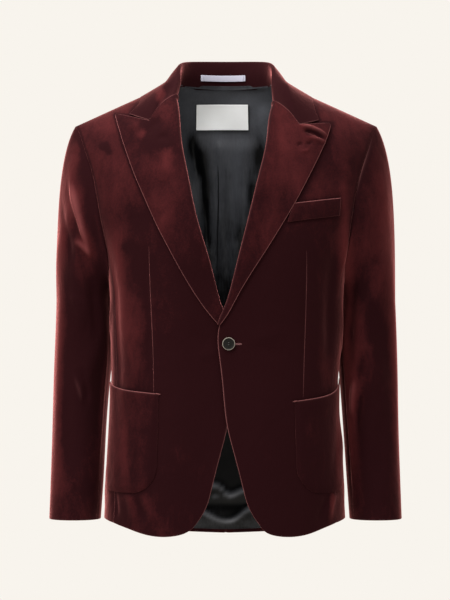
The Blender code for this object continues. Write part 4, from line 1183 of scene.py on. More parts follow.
# ================================================================ sleeves
def armhole_loop(side):
    front_half = np.concatenate([FRONT_HOLE_LOW, FRONT_HOLE[1:]])[::-1]
    back_half = np.concatenate([BACK_HOLE_LOW, BACK_HOLE[1:]])
    loop = np.concatenate([front_half, back_half[1:-1]])
    form = body(loop[:, 0] * side, loop[:, 1]) * np.array([side, 1.0, 1.0])
    low = len(front_half) - 1
    down, up = along(form[: low + 1]), along(np.concatenate([form[low:], form[:1]]))
    turn = np.concatenate([180 * down / down[-1], 180 + 180 * up[1:-1] / up[-1]])
    return loop, form, turn


def arm_ring(row, turn):
    height, outer, inner, mid, depth = (row[..., k] for k in range(5))
    sine, cosine, power = np.sin(np.radians(turn)), np.cos(np.radians(turn)), 2 / SLEEVE_SQUARE
    x = (outer + inner) / 2 + (outer - inner) / 2 * np.sign(cosine) * np.abs(cosine) ** power
    y = mid - depth * np.sign(sine) * np.abs(sine) ** power
    return np.stack([x, y, np.broadcast_to(height, x.shape)], axis=-1)


ROUND_MM = 1.15      # length of one degree round a sleeve
CREASE_DEPTH = 1.3
HOLE_HIGHLIGHT = {-1: 0.0, 1: 0.3}   # painted highlight along the armhole seam in front
HOLE_PART = {"above": -150.0, "fade": 40.0}


def sleeve_form(side, turn, form, out):
    table = np.array(SLEEVE)
    table[:, 1:3] += np.array(SLEEVE_LEAN[side])[:, 1:]
    station = along(table[:, [0]])
    rings = Spline(station, table)
    share = ((1 + np.cos(np.radians(turn))) / 2)[:, None]

    def blend(sizes):
        return sizes["under"] + (sizes["top"] - sizes["under"]) * share

    first, last = form + out * blend(SLEEVE_GAP), arm_ring(table[0], turn)
    leave = blend(CAP_OUT) * np.array([1.0, 0, 0]) + blend(CAP_DOWN) * np.array([0, 0, -1.0])
    enter = blend(CAP_END) * np.array([0, 0, -1.0])
    grid = []
    for t in np.linspace(0, 1, CAP_ROWS + 1):
        grid.append(
            (2 * t**3 - 3 * t**2 + 1) * first + (t**3 - 2 * t**2 + t) * leave
            + (3 * t**2 - 2 * t**3) * last + (t**3 - t**2) * enter)
    for s in np.linspace(0, station[-1], ARM_ROWS + 1)[1:]:
        grid.append(arm_ring(rings(s), turn))
    grid = np.array(grid)
    closed = np.concatenate([grid[:, -1:], grid, grid[:, :1]], axis=1)
    normal = grid_normal(closed)[:, 1:-1]
    rise = np.zeros(grid.shape[:2])
    for owner, mid, level, half, length, twist, amount in SLEEVE_FOLDS:
        if owner == side:
            run = (grid[..., 2] - level) / length
            off = ((turn[None] - mid - twist * run + 180) % 360 - 180) / half
            rise += amount * np.exp(-off * off - run * run)
    around = np.broadcast_to(turn[None] * ROUND_MM, rise.shape)
    rows = [(a * ROUND_MM, b, c * ROUND_MM, d, bow, half, amount) for a, b, c, d, bow, half, amount in SLEEVE_CREASES[side]]
    rise = rise + CREASE_DEPTH * crease_rise(around, grid[..., 2], rows)
    rise *= ease(np.linspace(0, 6, len(grid)))[:, None]
    return grid + normal * rise[..., None], normal, rise


def build_sleeves():
    for side, name in ((1, "left"), (-1, "right")):
        loop, form, turn = armhole_loop(side)
        normal = body_normal(loop[:, 0], loop[:, 1])
        tangent = np.roll(form, -1, axis=0) - np.roll(form, 1, axis=0)
        out = np.cross(normal, tangent)
        out /= np.linalg.norm(out, axis=1, keepdims=True)
        out *= np.sign((out * (form.mean(axis=0) - form)).sum(axis=1, keepdims=True))
        share = ((1 + np.cos(np.radians(turn))) / 2)[:, None]
        outer, away, rise = sleeve_form(side, turn, form, out)
        away[0] = away[0] * (1 - share) + normal * share
        away /= np.linalg.norm(away, axis=-1, keepdims=True)
        inner = outer - away * WALL
        front_cut = int(np.argmin(np.abs(turn - SLEEVE_SEAMS["front"])))
        back_cut = int(np.argmin(np.abs(turn - SLEEVE_SEAMS["back"])))
        upper = np.concatenate([np.arange(back_cut, len(turn)), np.arange(0, front_cut + 1)])
        under = np.arange(front_cut, back_cut + 1)
        for label, pick in (("top", upper), ("under", under)):
            mirror = np.array([side, 1.0, 1.0])
            pair = [inset(grid[:, pick] * mirror, EDGE_ROUND + SEAM_SHUT, ("left", "right", "top")) for grid in (outer, inner)]
            step = np.linalg.norm(np.diff(pair[0], axis=0), axis=-1)[::-1]
            from_cuff = np.cumsum(np.pad(step, ((1, 0), (0, 0))), axis=0)[::-1]
            around = np.broadcast_to((turn[pick][None] + 130) % 360 - 130, rise[:, pick].shape)
            # painted light and shade on the sleeve, lighter on ridges and darker along the armhole seam; painted
            # highlights along the seam in front and on sharp crests
            piece = shell(f"sleeve_{label}_{name}_velvet", pair[0], pair[1], other="lining",
                          lined=from_cuff > HEM_TURN["cuff"],
                          rims={"left": 0.05, "right": 0.05, "bottom": 0.0, "top": 0.15},
                          nap_and_painted_light=nap_mark(around, pair[0][..., 2], SLEEVE_LIGHT[side]) + 1.4 * RIDGE_LIGHT * rise[:, pick]
                          + HOLE_SHADE[side] * np.exp(-np.arange(len(rise)) / 1.6)[:, None],
                          mark=HOLE_HIGHLIGHT[side] * np.exp(-np.arange(len(rise)) / 0.6)[:, None] * np.exp(-(((around - 52) / 22) ** 2))
                          * ease((pair[0][..., 2] - HOLE_PART["above"]) / HOLE_PART["fade"] + 0.5)
                          + CREST_HIGHLIGHT * np.maximum(rise[:, pick] - 2.0, 0.0))
            cloth([f"sleeve_{label}_{name}"])


# ================================================================ lapels and collar
FACING_DEEP = {"break": 3.4, "neck": 4.8}   # the turned-back facing lies this far inside the front
FACING_RUN = 27.0
TIP_SOFT = {"left": 60, "right": 22}   # rounding of the peaks


def gorge_line(name):
    gorge = GORGE[name]
    return smooth_line([gorge["roll"], gorge["mid"], gorge["notch"]], GORGE_COLUMNS + 1)


def lapel_grid(name):
    column = 2 if name == "left" else 1
    gorge = GORGE[name]
    edge = np.array(LAPEL[name])
    lowest = edge[0] - (1.2 if name == "left" else 7.0, 0.0)
    roll = [tuple(lowest)] + [(row[column], row[0]) for row in ROLL] + [gorge["roll"]]
    left = smooth_line(roll, LAPEL_ROWS + 1, LAPEL_CLOSER)
    left[:, 0] += ROLL_TURN * ease(np.linspace(0, 9, len(left))) * ease(np.linspace(30, 0, len(left)))
    right = smooth_line(edge, LAPEL_ROWS + 1, LAPEL_CLOSER)
    seam = gorge_line(name)
    peak = even([gorge["notch"], tuple(edge[-1])], LAPEL_COLUMNS - GORGE_COLUMNS + 1)
    top = np.concatenate([seam, peak[1:]])
    tip = np.concatenate([top, right[::-1][1:]])
    for _ in range(TIP_SOFT[name]):
        spot = slice(LAPEL_COLUMNS - 14, LAPEL_COLUMNS + 15)
        near = tip[spot].copy()
        near[1:-1] = (near[:-2] + 2 * near[1:-1] + near[2:]) / 4
        tip[spot] = near
    top, right = tip[: LAPEL_COLUMNS + 1], tip[LAPEL_COLUMNS:][::-1]
    bottom = even([left[0], right[0]], LAPEL_COLUMNS + 1)
    return coons(left, right, bottom, top)


def roll_rise(grid):
    across = np.linalg.norm(grid - grid[:, :1], axis=-1)
    climb = ease(np.linspace(0, 2.2, len(grid)))[:, None]
    return ROLL_RISE * climb * np.exp(-((across / ROLL_REACH) ** 2))


def build_lapels():
    for side, name in ((1, "left"), (-1, "right")):
        flat = inset(inset(lapel_grid(name), SEAM_GAP + EDGE_ROUND, ("top",)), EDGE_ROUND, ("right",))
        angle, station = locate(flat[..., 0] * side, flat[..., 1])
        rise = roll_rise(flat) + crease_rise(flat[..., 0], flat[..., 1], CREASES["lapel_" + name])
        top = front(side, angle, station, LAPEL_LIE + WALL + rise)
        normal = body_normal(angle, station)
        climb = ease(np.linspace(0, 2.2, len(flat)))
        deep = FACING_DEEP["break"] + (FACING_DEEP["neck"] - FACING_DEEP["break"]) * climb
        edge_normal = normal[:, 0]
        way = top[:, 0] - top[:, 2]
        way -= edge_normal * (way * edge_normal).sum(axis=-1, keepdims=True)
        way /= np.linalg.norm(way, axis=-1, keepdims=True)
        radius = ((LAPEL_LIE + WALL + rise[:, 0] + deep) / 2)[:, None]
        hub = top[:, 0] - edge_normal * radius
        arc, arc_in, turned = [], [], []
        for turn in np.linspace(0, math.pi, 13)[1:]:
            arc.append(hub + edge_normal * radius * math.cos(turn) + way * ROLL_TURN * math.sin(turn))
            arc_in.append(hub + edge_normal * (radius - WALL) * math.cos(turn) + way * (ROLL_TURN - 1.6) * math.sin(turn))
            turned.append(max(0.0, math.sin(turn * 1.25)) if turn < 2.4 else 0.0)
        run = flat[:, 2] - flat[:, 0]
        run /= np.linalg.norm(run, axis=-1, keepdims=True)
        facing, facing_in = [], []
        for reach in np.linspace(2.0, FACING_RUN, 9):
            spot = flat[:, 0] + run * reach
            a, s = locate(spot[:, 0] * side, spot[:, 1])
            lying = front(side, a, s, -deep)
            facing.append(lying)
            facing_in.append(lying + body_normal(a, s) * 1.2)
        visible = np.concatenate([np.array(facing[::-1]), np.array(arc[::-1]), top.swapaxes(0, 1)]).swapaxes(0, 1)
        hidden = np.concatenate([np.array(facing_in[::-1]), np.array(arc_in[::-1]), (top - normal * WALL).swapaxes(0, 1)]).swapaxes(0, 1)
        count = len(facing) + len(arc)
        mark = np.zeros(visible.shape[:2])
        # the turn of the roll gets a faint painted highlight and is painted darker as shade; the lapel's face takes
        # painted light and shade and painted highlights on its crests
        mark[:, len(facing):count] = 0.05 * np.array(turned[::-1])[None]
        nap_and_painted_light = np.zeros(visible.shape[:2])
        nap_and_painted_light[:, len(facing):count] = -1.0 * np.array(turned[::-1])[None]
        nap_and_painted_light[:, count:] = nap_mark(flat[..., 0], flat[..., 1], NAP_AND_LIGHT["lapel_" + name]) + 1.3 * RIDGE_LIGHT * crease_rise(flat[..., 0], flat[..., 1], CREASES["lapel_" + name])
        mark[:, count:] = 2.0 * CREST_HIGHLIGHT * np.maximum(crease_rise(flat[..., 0], flat[..., 1], CREASES["lapel_" + name]) - 1.4, 0.0)
        piece = shell("lapel_" + name + "_velvet", visible, hidden, nap_and_painted_light=nap_and_painted_light, mark=mark,
                      rims={"left": 0.0, "right": 0.65, "top": 0.4, "bottom": 0.0})
        cloth(["lapel_" + name])


STAND_COLUMNS, TURN_COLUMNS = 20, 6
STAND_FEET = {"front": (77.0, 12.0), "shoulder": (75.0, 6.0, 22.0), "side": 50.0, "back": 0.0}
FOLD_LIFT = 1.1      # made up for the rounding of the fold
COLLAR_SOFT = 7
COLLAR_LIE = 0.7     # height of the outer edge over the shoulder
COLLAR_THIN = 0.55   # thickness left at that edge


def collar_stations(side):
    """Lines of the collar from the foot of the stand, over the fold, to the outer edge."""
    name = "left" if side > 0 else "right"
    gorge = GORGE[name]
    leaf = even([gorge["notch"], gorge["leaf"]], GORGE_COLUMNS + 1)
    line = np.concatenate([gorge_line(name), leaf[1:]])
    across = np.linalg.norm(line - line[0], axis=-1)
    angle, station = locate(line[:, 0], line[:, 1])
    fall = body(angle, station, LAPEL_LIE + WALL + ROLL_RISE * np.exp(-((across / ROLL_REACH) ** 2)))
    out = body_normal(angle[:1], station[:1])[0]
    rear = fall[0] - out * (LAPEL_LIE + WALL + ROLL_RISE + FACING_DEEP["neck"])
    foot = rear + (fall[3] - fall[0]) / np.linalg.norm(fall[3] - fall[0]) * 16.0
    rows = [np.concatenate([even([foot, rear], STAND_COLUMNS + 1), even([rear, fall[0]], TURN_COLUMNS + 1)[1:-1], fall])]
    for label, fold, crease, (angle, height) in COLLAR:
        edge = body(angle, ring_at_height(height), COLLAR_LIE)
        upper, lower = even([fold, crease], GORGE_COLUMNS + 1), even([crease, edge], GORGE_COLUMNS + 1)
        swell = np.sin(np.linspace(0, math.pi, GORGE_COLUMNS + 1))[:, None]
        upper = upper + swell * np.array([0, 0, COLLAR_SWELL])
        upper[:8] += np.linspace(1, 0, 8)[:, None] * np.array([0, 0, FOLD_LIFT])
        toward = np.array([0.0, 12.0, fold[2]]) - np.array(fold)
        toward /= np.linalg.norm(toward)
        rear = np.array(fold) + toward * (STAND_STEP + WALL) + np.array([0, 0, FOLD_LIFT - 0.6])
        spot = STAND_FEET[label]
        if label == "front":
            foot = body(*locate(*spot), -FACING_DEEP["neck"])
        elif label == "shoulder":
            foot = np.array(spot)
        else:
            a, s = locate(spot, NECK_DIP + 4.0 * (spot / NECK_POINT) ** 2)
            foot = body(180 - a, s, -10.5) + np.array([0, 0, 5.0])
        bow = np.sin(np.linspace(0, math.pi, STAND_COLUMNS + 1))[:, None] * toward * 2.5
        stand = even([foot, rear], STAND_COLUMNS + 1) + bow
        rows.append(np.concatenate([stand, even([rear, upper[0]], TURN_COLUMNS + 1)[1:-1], upper, lower[1:]]))
    rows = np.array(rows)
    rows[..., 0] *= side
    return rows


def build_collar():
    right, left = collar_stations(-1), collar_stations(1)
    whole = np.concatenate([right, left[::-1][1:]])
    visible = np.array([smooth_line(whole[:, k], COLLAR_ROWS + 1) for k in range(whole.shape[1])]).swapaxes(0, 1)
    visible = relax(visible, COLLAR_SOFT)
    visible = inset(inset(visible, SEAM_GAP * 1.5 + EDGE_ROUND, ("bottom", "top")), EDGE_ROUND, ("right",))
    normal = grid_normal(visible)
    middle = STAND_COLUMNS + TURN_COLUMNS + GORGE_COLUMNS
    if normal[COLLAR_ROWS // 2, middle, 1] < 0:
        normal = -normal
    columns = visible.shape[1]
    thick = WALL * (1 - (1 - COLLAR_THIN) * ease((np.arange(columns) - columns + 13) / 12))
    # the stand is painted darker as shade; the fall takes painted light and shade from its table
    piece = shell("collar_velvet", visible, visible - normal * thick[None, :, None],
                  rims={"left": 0.0, "right": 0.25, "bottom": 0.35, "top": 0.35},
                  nap_and_painted_light=np.where(np.arange(columns)[None] < STAND_COLUMNS + TURN_COLUMNS - 1, -1.5, nap_mark(visible[..., 0], visible[..., 2], NAP_AND_LIGHT["collar"])))
    cloth(["collar_fall", "collar_stand"])
    return visible


# ================================================================ pockets and welt
POCKET_ROWS, POCKET_COLUMNS = 52, 40
POCKET_GAPE = 2.2    # the mouth stands off the front


# painted light and shade over each pocket as a whole
POCKET_LIGHT = {"left": -0.15, "right": 0.1}
POCKET_FLAT = 0.6    # pressed thinner by this along the sewn edges


def pocket_steps():
    return 1 - (1 - np.linspace(0, 1, POCKET_ROWS + 1)) ** 1.5, np.linspace(0, 1, POCKET_COLUMNS + 1)[None, :]


def pocket_grid(name):
    size = POCKET[name]
    start = float(locate(size["front"], size["top_front"])[0])
    part, u = pocket_steps()
    upper = size["top_front"] + (size["top_rear"] - size["top_front"]) * u + size["curl"] * u**5
    height = upper + (size["foot"] - upper) * part[:, None]
    over = np.maximum(0.0, size["corner"] - (height - size["foot"]))
    pull = size["corner"] - np.sqrt(np.maximum(size["corner"] ** 2 - over**2, 0.0))
    pull_angle = pull / 150.0 * 57.3
    low, high = start + pull_angle, size["rear"] - pull_angle
    return np.stack([low + (high - low) * u, ring_at_height(height)], axis=-1)[::-1]


def build_pockets():
    for side, name in ((1, "left"), (-1, "right")):
        size = POCKET[name]
        part, u = pocket_steps()
        grid = pocket_grid(name)
        angle, station = grid[..., 0] * side, grid[..., 1]
        down = part[::-1][:, None]
        gape = POCKET_GAPE * np.exp(-((down / 0.16) ** 2)) * np.sin(np.pi * u) ** 0.7
        puff = 1.1 * np.sin(np.pi * np.clip(down, 0, 1)) ** 0.6 * np.sin(np.pi * u) ** 0.5
        close = np.maximum(np.maximum(ease(1 - u / 0.07), ease(1 - (1 - u) / 0.07)), ease(1 - (1 - down) / 0.07))
        thin = 1 - POCKET_FLAT * close
        outer = front(side, angle, station, (LIE + WALL) * thin + gape + puff)
        outer = inset(outer, EDGE_ROUND, ("left", "right", "bottom", "top"))
        # the pocket takes painted light and shade, and a painted highlight along its mouth
        piece = shell("pocket_" + name + "_velvet", outer, outer - body_normal(angle, station) * (WALL * thin)[..., None],
                      rims={"top": 0.6, "left": 0.02, "right": 0.06, "bottom": 0.02},
                      nap_and_painted_light=POCKET_LIGHT[name] + nap_mark(outer[..., 0], outer[..., 2], NAP_AND_LIGHT["pocket_" + name]))
        cloth(["pocket_" + name])
        line = even([(size["front"] + 5.0, size["top_front"] + 0.4), (size["front"] - 3.0, size["top_front"] - 1.0)], 14)
        a, s = locate(line[:, 0] * side, line[:, 1])
        # the tack bar is painted with the sheen highlight of an edge
        bar = strip("pocket_tack_" + name, front(side, a, s, LIE + WALL * 0.8), body_normal(a, s), 0.9, 0.9, "velvet", 0.45)


def build_welt():
    w = WELT
    columns = np.linspace(0, 1, 34)
    foot = np.stack([w["front"] - w["slant"] + (w["rear"] - w["front"] + w["slant"] - 2) * columns,
                     w["front_foot"] + (w["rear_foot"] - w["front_foot"]) * columns], axis=1)
    top = np.stack([w["front"] + w["slant"] + (w["rear"] - w["front"] - w["slant"]) * columns,
                    w["front_top"] + (w["rear_top"] - w["front_top"]) * columns], axis=1)
    grid = np.array([foot * (1 - t) + top * t for t in np.linspace(0, 1, 14)])
    angle, station = locate(grid[..., 0], grid[..., 1])
    swell = 0.8 * np.sin(np.pi * np.linspace(0, 1, 14))[:, None] ** 0.7
    outer = inset(front(1, angle, station, LIE + WALL + swell), EDGE_ROUND, ("left", "right", "bottom", "top"))
    piece = shell("breast_welt_velvet", outer, outer - body_normal(angle, station) * WALL,
                  rims={"top": 0.6, "right": 0.4, "left": 0.0, "bottom": 0.04})
    cloth(["breast_welt"])


def strip(name, line, normal, half, high, finish, rim, lift=0.0, lay_and_light=0.0):
    """Narrow raised line of cloth that lies along a surface."""
    ahead = np.gradient(line, axis=0)
    ahead /= np.linalg.norm(ahead, axis=-1, keepdims=True)
    across = np.cross(ahead, normal)
    across /= np.linalg.norm(across, axis=-1, keepdims=True)
    fade = np.sin(np.pi * np.linspace(0.0, 1.0, len(line))) ** 0.35
    ring = []
    for turn in np.linspace(0, 2 * math.pi, 9)[:-1]:
        ring.append(line + across * (half * math.cos(turn) * np.maximum(fade, 0.05))[:, None]
                    + normal * (lift + high * math.sin(turn) * np.maximum(fade, 0.05))[:, None])
    ring = np.array(ring).swapaxes(0, 1)
    rows, count = ring.shape[:2]
    faces = [(i * count + k, i * count + (k + 1) % count, (i + 1) * count + (k + 1) % count, (i + 1) * count + k)
             for i in range(rows - 1) for k in range(count)]
    faces += [tuple(range(count))[::-1], tuple(range((rows - 1) * count, rows * count))]
    points = ring.reshape(-1, 3)
    fan = np.array([(f[0], f[k], f[k + 1]) for f in faces for k in range(1, len(f) - 1)])
    if np.linalg.det(points[fan] - points.mean(axis=0)).sum() < 0:
        faces = [tuple(reversed(f)) for f in faces]
    return add_mesh(name, points, faces, [finish], [0] * len(faces), np.full(len(points), rim), np.full(len(points), lay_and_light))


def build_darts():
    for side, rows in DARTS.items():
        line = smooth_line(rows, 70)
        angle, station = locate(line[:, 0], line[:, 1])
        # the dart seam is a low raised line with a painted sheen highlight
        piece = strip("dart_left_seam" if side > 0 else "dart_right_seam", front(side, angle, station, 0.05), body_normal(angle, station), 0.6, 0.3, "velvet", 0.2)


# ================================================================ lining and trim
PLEAT = {"x": -13.0, "step": 2.6, "top": -20.0, "foot": -560.0, "line_top": -62.0, "line_foot": -330.0}


def lining_rise(x, z):
    rise = crease_rise(x, z, CREASES["lining"])
    table = np.array(HEM_WAVES)
    for column, half, amount in ((1, 6.0, 5.5), (2, 5.5, 5.0)):
        level = Spline(table[:, 0], table[:, column])(np.clip(x, -160, 160))[..., 0]
        rise = rise + amount * np.exp(-(((z - level) / half) ** 2)) * (0.75 + 0.25 * np.sin(x / 17.0))
    rise = rise - 3.0 * np.exp(-(((z + 634) / 9.0) ** 2))
    fold = PLEAT["step"] * ease((x - PLEAT["x"] + 1.2) / 2.4) * np.exp(-(((x - PLEAT["x"]) / 26) ** 2) * (x > PLEAT["x"]))
    return rise + fold * ease((PLEAT["top"] - z) / 30) * ease((z - PLEAT["foot"]) / 60)


def lining_crest(x, z):
    """Where the folds over the hem turn their crests to the light."""
    table = np.array(HEM_WAVES)
    crest_highlight = 0.5 * np.exp(-(((x + 17.5) / 5.0) ** 2) - ((z + 621.5) / 3.5) ** 2)
    for column in (1, 2):
        level = Spline(table[:, 0], table[:, column])(np.clip(x, -160, 160))[..., 0]
        crest_highlight = np.maximum(crest_highlight, (0.85 + 0.15 * np.sin(x / 6.0)) * np.exp(-(((z - level) / 4.2) ** 2)))
    return crest_highlight


def lining_face(angle, station, lift=0.0):
    seen = plain_body(angle, station)
    x, z = seen[..., 0], seen[..., 2]
    loose = np.maximum(ease((-46 - z) / 26), ease((np.abs(x) - 50) / 9) * ease((8 - z) / 26)) * ease((z + 676) / 22)
    loose = loose * seam_away(np.where(angle > 180, 360 - angle, angle), station, BACK_SEAM["hem"], BACK_SEAM["top"])
    return body(angle, station, -(WALL + LINING_CLEAR + LINING_WALL + (LINING_SLACK + lining_rise(x, z)) * loose + lift))


def build_lining():
    half = back_grid()
    whole = np.concatenate([half[:, ::-1], half[:, 1:] * np.array([-1.0, 1.0])], axis=1)
    whole[..., 0] = np.where(whole[..., 0] < 0, whole[..., 0] + 360, whole[..., 0])
    angle, station = whole[..., 0], whole[..., 1]
    seen = plain_body(angle, station)
    face = lining_face(angle, station)
    face = inset(face, 4.0, ("left", "right"))
    short = LINING_SHORT * np.exp(-np.arange(len(face)) / 3.0)
    face[..., 2] += short[:, None]
    up = np.clip(1 - np.arange(len(face))[::-1] / 14.0, 0, 1) ** 2
    near = ease((70 - np.abs(seen[..., 0])) / 24)
    face[..., 2] += 11.0 * up[:, None] * near
    face[..., 1] -= 1.5 * up[:, None] * near
    away = body_normal(angle, station)
    # painted light and shade over the lining, and painted highlights on the crests of the hem folds
    piece = shell("lining_back_satin", face, face + away * LINING_WALL, "lining", rims={"left": 0, "right": 0, "bottom": 0, "top": 0},
                  nap_and_painted_light=nap_mark(seen[..., 0], seen[..., 2], LINING_LIGHT), mark=lining_crest(seen[..., 0], seen[..., 2]))
    cloth(["lining_back"])
    z = np.linspace(PLEAT["line_top"], PLEAT["line_foot"], 60)
    a, s = locate(np.full(len(z), PLEAT["x"]) + 0.8 * np.sin(z / 31.0), z)
    # the pleat's edge is painted darker as shade
    edge = strip("lining_pleat", lining_face(180 - a, s, 0.1), body_normal(180 - a, s), 0.8, 0.5, "lining", 0.0, lay_and_light=-1.0)


def build_label():
    columns, rows = np.linspace(LABEL["right"], LABEL["left"], 40), np.linspace(LABEL["foot"], LABEL["top"], 22)
    x, z = np.meshgrid(columns, rows)
    angle, station = locate(x, z)
    angle = 180 - angle
    seen = plain_body(angle, station)
    base = body(angle, station, -(WALL + LINING_CLEAR + LINING_WALL + 3.4))
    ripple = 0.5 * np.sin(x / 13.0) * np.sin((z - LABEL["foot"]) / 14.0)
    away = body_normal(angle, station)
    face = base - away * ripple[..., None]
    piece = shell("label_woven", face, face + away * 0.9, "label", rims={"left": 0, "right": 0, "bottom": 0, "top": 0})
    cloth(["label"])


TAPE = {"low": 33.4, "high": 42.0, "stand_off": 1.6, "bow": 2.2, "end": 7.0}


NECK_BAND = {"level": 25.6, "half": 66.0, "off": 0.9, "wall": 0.6}


def build_neck_band(collar):
    """Top of the lining, felled over the seam at the foot of the stand."""
    lines = []
    for point in collar[:, : STAND_COLUMNS + 1]:
        if point[0, 1] > 0 and abs(point[0, 0]) < NECK_BAND["half"]:
            tall = NECK_BAND["level"] * ease((NECK_BAND["half"] - abs(point[0, 0])) / 30.0)
            levels = np.linspace(point[0, 2] - 2.0, max(point[0, 2], tall), 9)
            lines.append([[np.interp(level, point[:, 2], point[:, k]) for k in (0, 1)] + [level] for level in levels])
    face = np.array(lines)
    inward = np.array([0.0, -60.0, 0.0]) - face * np.array([1.0, 1.0, 0.0])
    inward /= np.linalg.norm(inward, axis=-1, keepdims=True)
    face = face + inward * NECK_BAND["off"]
    # the band is painted darker as shade under the stand
    piece = shell("lining_neck", face, face - inward * NECK_BAND["wall"], "lining", nap_and_painted_light=np.full(face.shape[:2], -0.35),
                  rims={"left": 0, "right": 0, "bottom": 0, "top": 0})


def build_hanger(collar):
    """Tape loop sewn down at both ends on the inside of the stand."""
    stand = collar[:, : STAND_COLUMNS + 1]
    middle = stand[COLLAR_ROWS // 2 - 60 : COLLAR_ROWS // 2 + 61]
    spots, levels = np.linspace(HANGER["right"], HANGER["left"], 46), np.linspace(TAPE["low"], TAPE["high"], 9)
    order = np.argsort(middle[:, 8, 0])
    middle = middle[order]
    rows = []
    for level in levels:
        line = []
        for point in middle:
            line.append([np.interp(level, point[:, 2], point[:, k]) for k in (0, 1)])
        line = np.array(line)
        line = line[np.argsort(line[:, 0])]
        rows.append([(s, float(np.interp(s, line[:, 0], line[:, 1])), level) for s in spots])
    face = np.array(rows)
    u = np.linspace(0, 1, len(spots))
    off = TAPE["stand_off"] + TAPE["bow"] * np.sin(np.pi * u) ** 0.8
    face[..., 1] -= off[None]
    face[..., 2] -= (0.3 * np.sin(np.pi * u))[None]
    piece = shell("hanger_tape", face, face + np.array([0, 0.9, 0.0]), "tape", rims={"left": 0, "right": 0, "bottom": 0, "top": 0})
    cloth(["hanger_loop"])
    for label, spot in (("right", 2), ("left", len(spots) - 3)):
        line = face[:, spot] - np.array([0, 0.25, 0])
        line = np.concatenate([line[:1] - (line[1:2] - line[:1]), line, line[-1:] + (line[-1:] - line[-2:-1])])
        bar = strip("tape_stitch_" + label, even(line, 16), np.tile(np.array([0.0, -1.0, 0.0]), (16, 1)), 0.8, 0.5, "tape", 0.0)


def build_button():
    angle, station = locate(BUTTON["x"], BUTTON["z"])
    axis = body_normal(angle, station)
    seat = front(1, angle, station, LIE)
    across = np.cross(axis, np.array([0, 0, 1.0]))
    across /= np.linalg.norm(across)
    upward = np.cross(across, axis)
    r, thick, rim, dish = (BUTTON[k] for k in ("radius", "thick", "rim", "dish"))
    profile = (
        # radius, height, painted highlight
        (r * 0.50, 0.0, 0.0), (r * 0.80, 0.1, 0.0), (r - 0.7, 0.5, 0.0), (r - 0.15, 1.1, 0.0), (r, thick * 0.52, 0.0),
        (r - 0.12, thick - 0.9, 0.15), (r - 0.4, thick - 0.35, 0.75), (r - rim * 0.45, thick - 0.05, 0.75), (r - rim * 0.7, thick, 0.15),
        (r - rim * 0.95, thick - 0.1, 0.0), (r - rim - 0.25, thick - 0.45, 0.0), (r - rim - 0.7, thick - dish + 0.05, 0.0),
        (r - rim - 1.5, thick - dish - 0.1, 0.0), (r * 0.55, thick - dish - 0.22, 0.0), (r * 0.3, thick - dish - 0.3, 0.0),
    )
    count = 64
    points, light, faces = [], [], []
    for radius, height, rim_highlight in profile:
        for k in range(count):
            turn = 2 * math.pi * k / count
            points.append(seat + axis * height + (across * math.cos(turn) + upward * math.sin(turn)) * radius)
            light.append(rim_highlight)
    for i in range(len(profile) - 1):
        for k in range(count):
            a, b = i * count + k, i * count + (k + 1) % count
            faces.append((a, b, b + count, a + count))
    faces.append(tuple(range(count))[::-1])
    faces.append(tuple(range((len(profile) - 1) * count, len(profile) * count)))
    piece = add_mesh("button_horn", points, faces, ["button"], [0] * len(faces), np.array(light), np.zeros(len(points)))
    cutters = []
    for k in range(4):
        turn = math.pi / 4 + k * math.pi / 2
        spot = seat + (across * math.cos(turn) + upward * math.sin(turn)) * 2.3
        ring = []
        for height in (-1.0, thick + 2.0):
            for m in range(18):
                a = 2 * math.pi * m / 18
                ring.append(spot + axis * height + (across * math.cos(a) + upward * math.sin(a)) * 0.95)
        sides = [(m, (m + 1) % 18, 18 + (m + 1) % 18, 18 + m) for m in range(18)] + [tuple(range(18))[::-1], tuple(range(18, 36))]
        mesh = bpy.data.meshes.new("hole")
        mesh.from_pydata((np.array(ring) * MM).tolist(), [], sides)
        cutter = bpy.data.objects.new("hole", mesh)
        bpy.context.scene.collection.objects.link(cutter)
        cutters.append(cutter)
        cut = piece.modifiers.new("hole", "BOOLEAN")
        cut.operation, cut.solver, cut.object = "DIFFERENCE", "EXACT", cutter
    bpy.context.view_layer.update()
    pierced = bpy.data.meshes.new_from_object(piece.evaluated_get(bpy.context.evaluated_depsgraph_get()))
    piece.modifiers.clear()
    piece.data = pierced
    pierced.shade_smooth()
    pierced.set_sharp_from_angle(angle=math.radians(38))
    for cutter in cutters:
        bpy.data.objects.remove(cutter, do_unlink=True)
    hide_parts("button")
    for label, a, b in (("upper", 0, 1), ("lower", 3, 2)):
        line = []
        for t in np.linspace(0, 1, 15):
            ends = [math.pi / 4 + k * math.pi / 2 for k in (a, b)]
            spots = [(across * math.cos(e) + upward * math.sin(e)) * 2.3 for e in ends]
            arch = thick - dish - 0.1 + 0.75 * math.sin(math.pi * t) ** 0.6 - 0.5 * (abs(2 * t - 1) ** 6)
            line.append(seat + spots[0] * (1 - t) + spots[1] * t + axis * arch)
        thread = strip("button_thread_" + label, np.array(line), np.tile(axis, (15, 1)), 0.6, 0.45, "dark_thread", 0.0)
    hole = []
    for turn in np.linspace(0, 2 * math.pi, 61):
        reach = 8.6 * np.sign(math.cos(turn)) * abs(math.cos(turn)) ** 0.35
        hole.append((15.2 + reach, -376.6 + 0.75 * math.sin(turn)))
    hole = np.array(hole)
    a, s = locate(hole[:, 0], hole[:, 1])
    ring = front(1, a, s, 0.25)
    bound = strip("buttonhole_edge", ring, body_normal(a, s), 0.55, 0.5, "thread", 0.0)


build_body()
build_sleeves()
build_lapels()
COLLAR_FACE = build_collar()
build_pockets()
build_welt()
build_darts()
build_lining()
build_label()
build_neck_band(COLLAR_FACE)
build_hanger(COLLAR_FACE)
build_button()

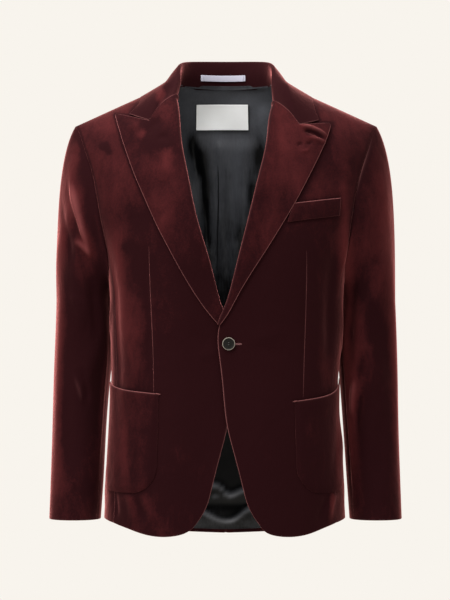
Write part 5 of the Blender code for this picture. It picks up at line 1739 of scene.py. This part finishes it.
# ================================================================ floor, light and camera
FLOOR = -1.45        # the shoulders are at a wearer's height
DISTANCE, LEVEL, PIXEL = 4.5, -0.31, 0.00155
CREAM = (0.939, 0.904, 0.847)


def build_stage():
    points = [(0.0, 0.0, FLOOR)] + [(4.6 * math.cos(a), 4.6 * math.sin(a), FLOOR) for a in np.linspace(0, 2 * math.pi, 97)[:-1]]
    faces = [(0, k, k % 96 + 1) for k in range(1, 97)]
    mesh = bpy.data.meshes.new("floor")
    mesh.from_pydata(points, [], faces)
    material, tree, shader = nodes_of("floor_pale")
    shader.inputs["Base Color"].default_value = (0.84, 0.815, 0.77, 1)
    shader.inputs["Roughness"].default_value = 0.9
    mesh.materials.append(material)
    floor = bpy.data.objects.new("floor", mesh)
    bpy.context.scene.collection.objects.link(floor)
    world = bpy.data.worlds.new("studio")
    world.use_nodes = True
    world.node_tree.nodes["Background"].inputs["Color"].default_value = (*CREAM, 1)
    world.node_tree.nodes["Background"].inputs["Strength"].default_value = 1.0
    bpy.context.scene.world = world
    for name, spot, size, power in (
        # soft box, where, across, watts
        ("key", (-1.6, -1.6, 0.9), 0.9, 50.0),
        ("top", (-0.3, -0.2, 1.5), 0.9, 64.0),
        ("neck", (-0.25, -1.0, 0.95), 0.6, 20.0),
        ("fill", (1.3, -3.2, 0.2), 1.2, 19.0),
        ("back", (0.9, 2.5, 1.1), 1.3, 46.0),
    ):
        lamp = bpy.data.lights.new(name, "AREA")
        lamp.shape, lamp.size, lamp.energy = "SQUARE", size, power
        lamp.color = (1.0, 0.985, 0.96)
        holder = bpy.data.objects.new(name, lamp)
        holder.location = spot
        aim = np.array([0.0, 0.0, -0.30]) - np.array(spot)
        aim /= np.linalg.norm(aim)
        holder.rotation_euler = (math.acos(-aim[2]), 0.0, math.atan2(-aim[0], aim[1]))
        bpy.context.scene.collection.objects.link(holder)


def build_camera():
    lens = bpy.data.cameras.new("camera")
    lens.sensor_fit = "VERTICAL"
    lens.sensor_height = 24.0
    lens.lens = 24.0 * DISTANCE / (600 * PIXEL)
    lens.clip_end = 60
    camera = bpy.data.objects.new("camera", lens)
    camera.location = (-PIXEL, -DISTANCE, LEVEL)
    camera.rotation_euler = (math.radians(90), 0.0, 0.0)
    bpy.context.scene.collection.objects.link(camera)
    bpy.context.scene.camera = camera


build_stage()
build_camera()
bpy.context.scene.view_settings.view_transform = "Standard"
bpy.context.scene.view_settings.look = "None"
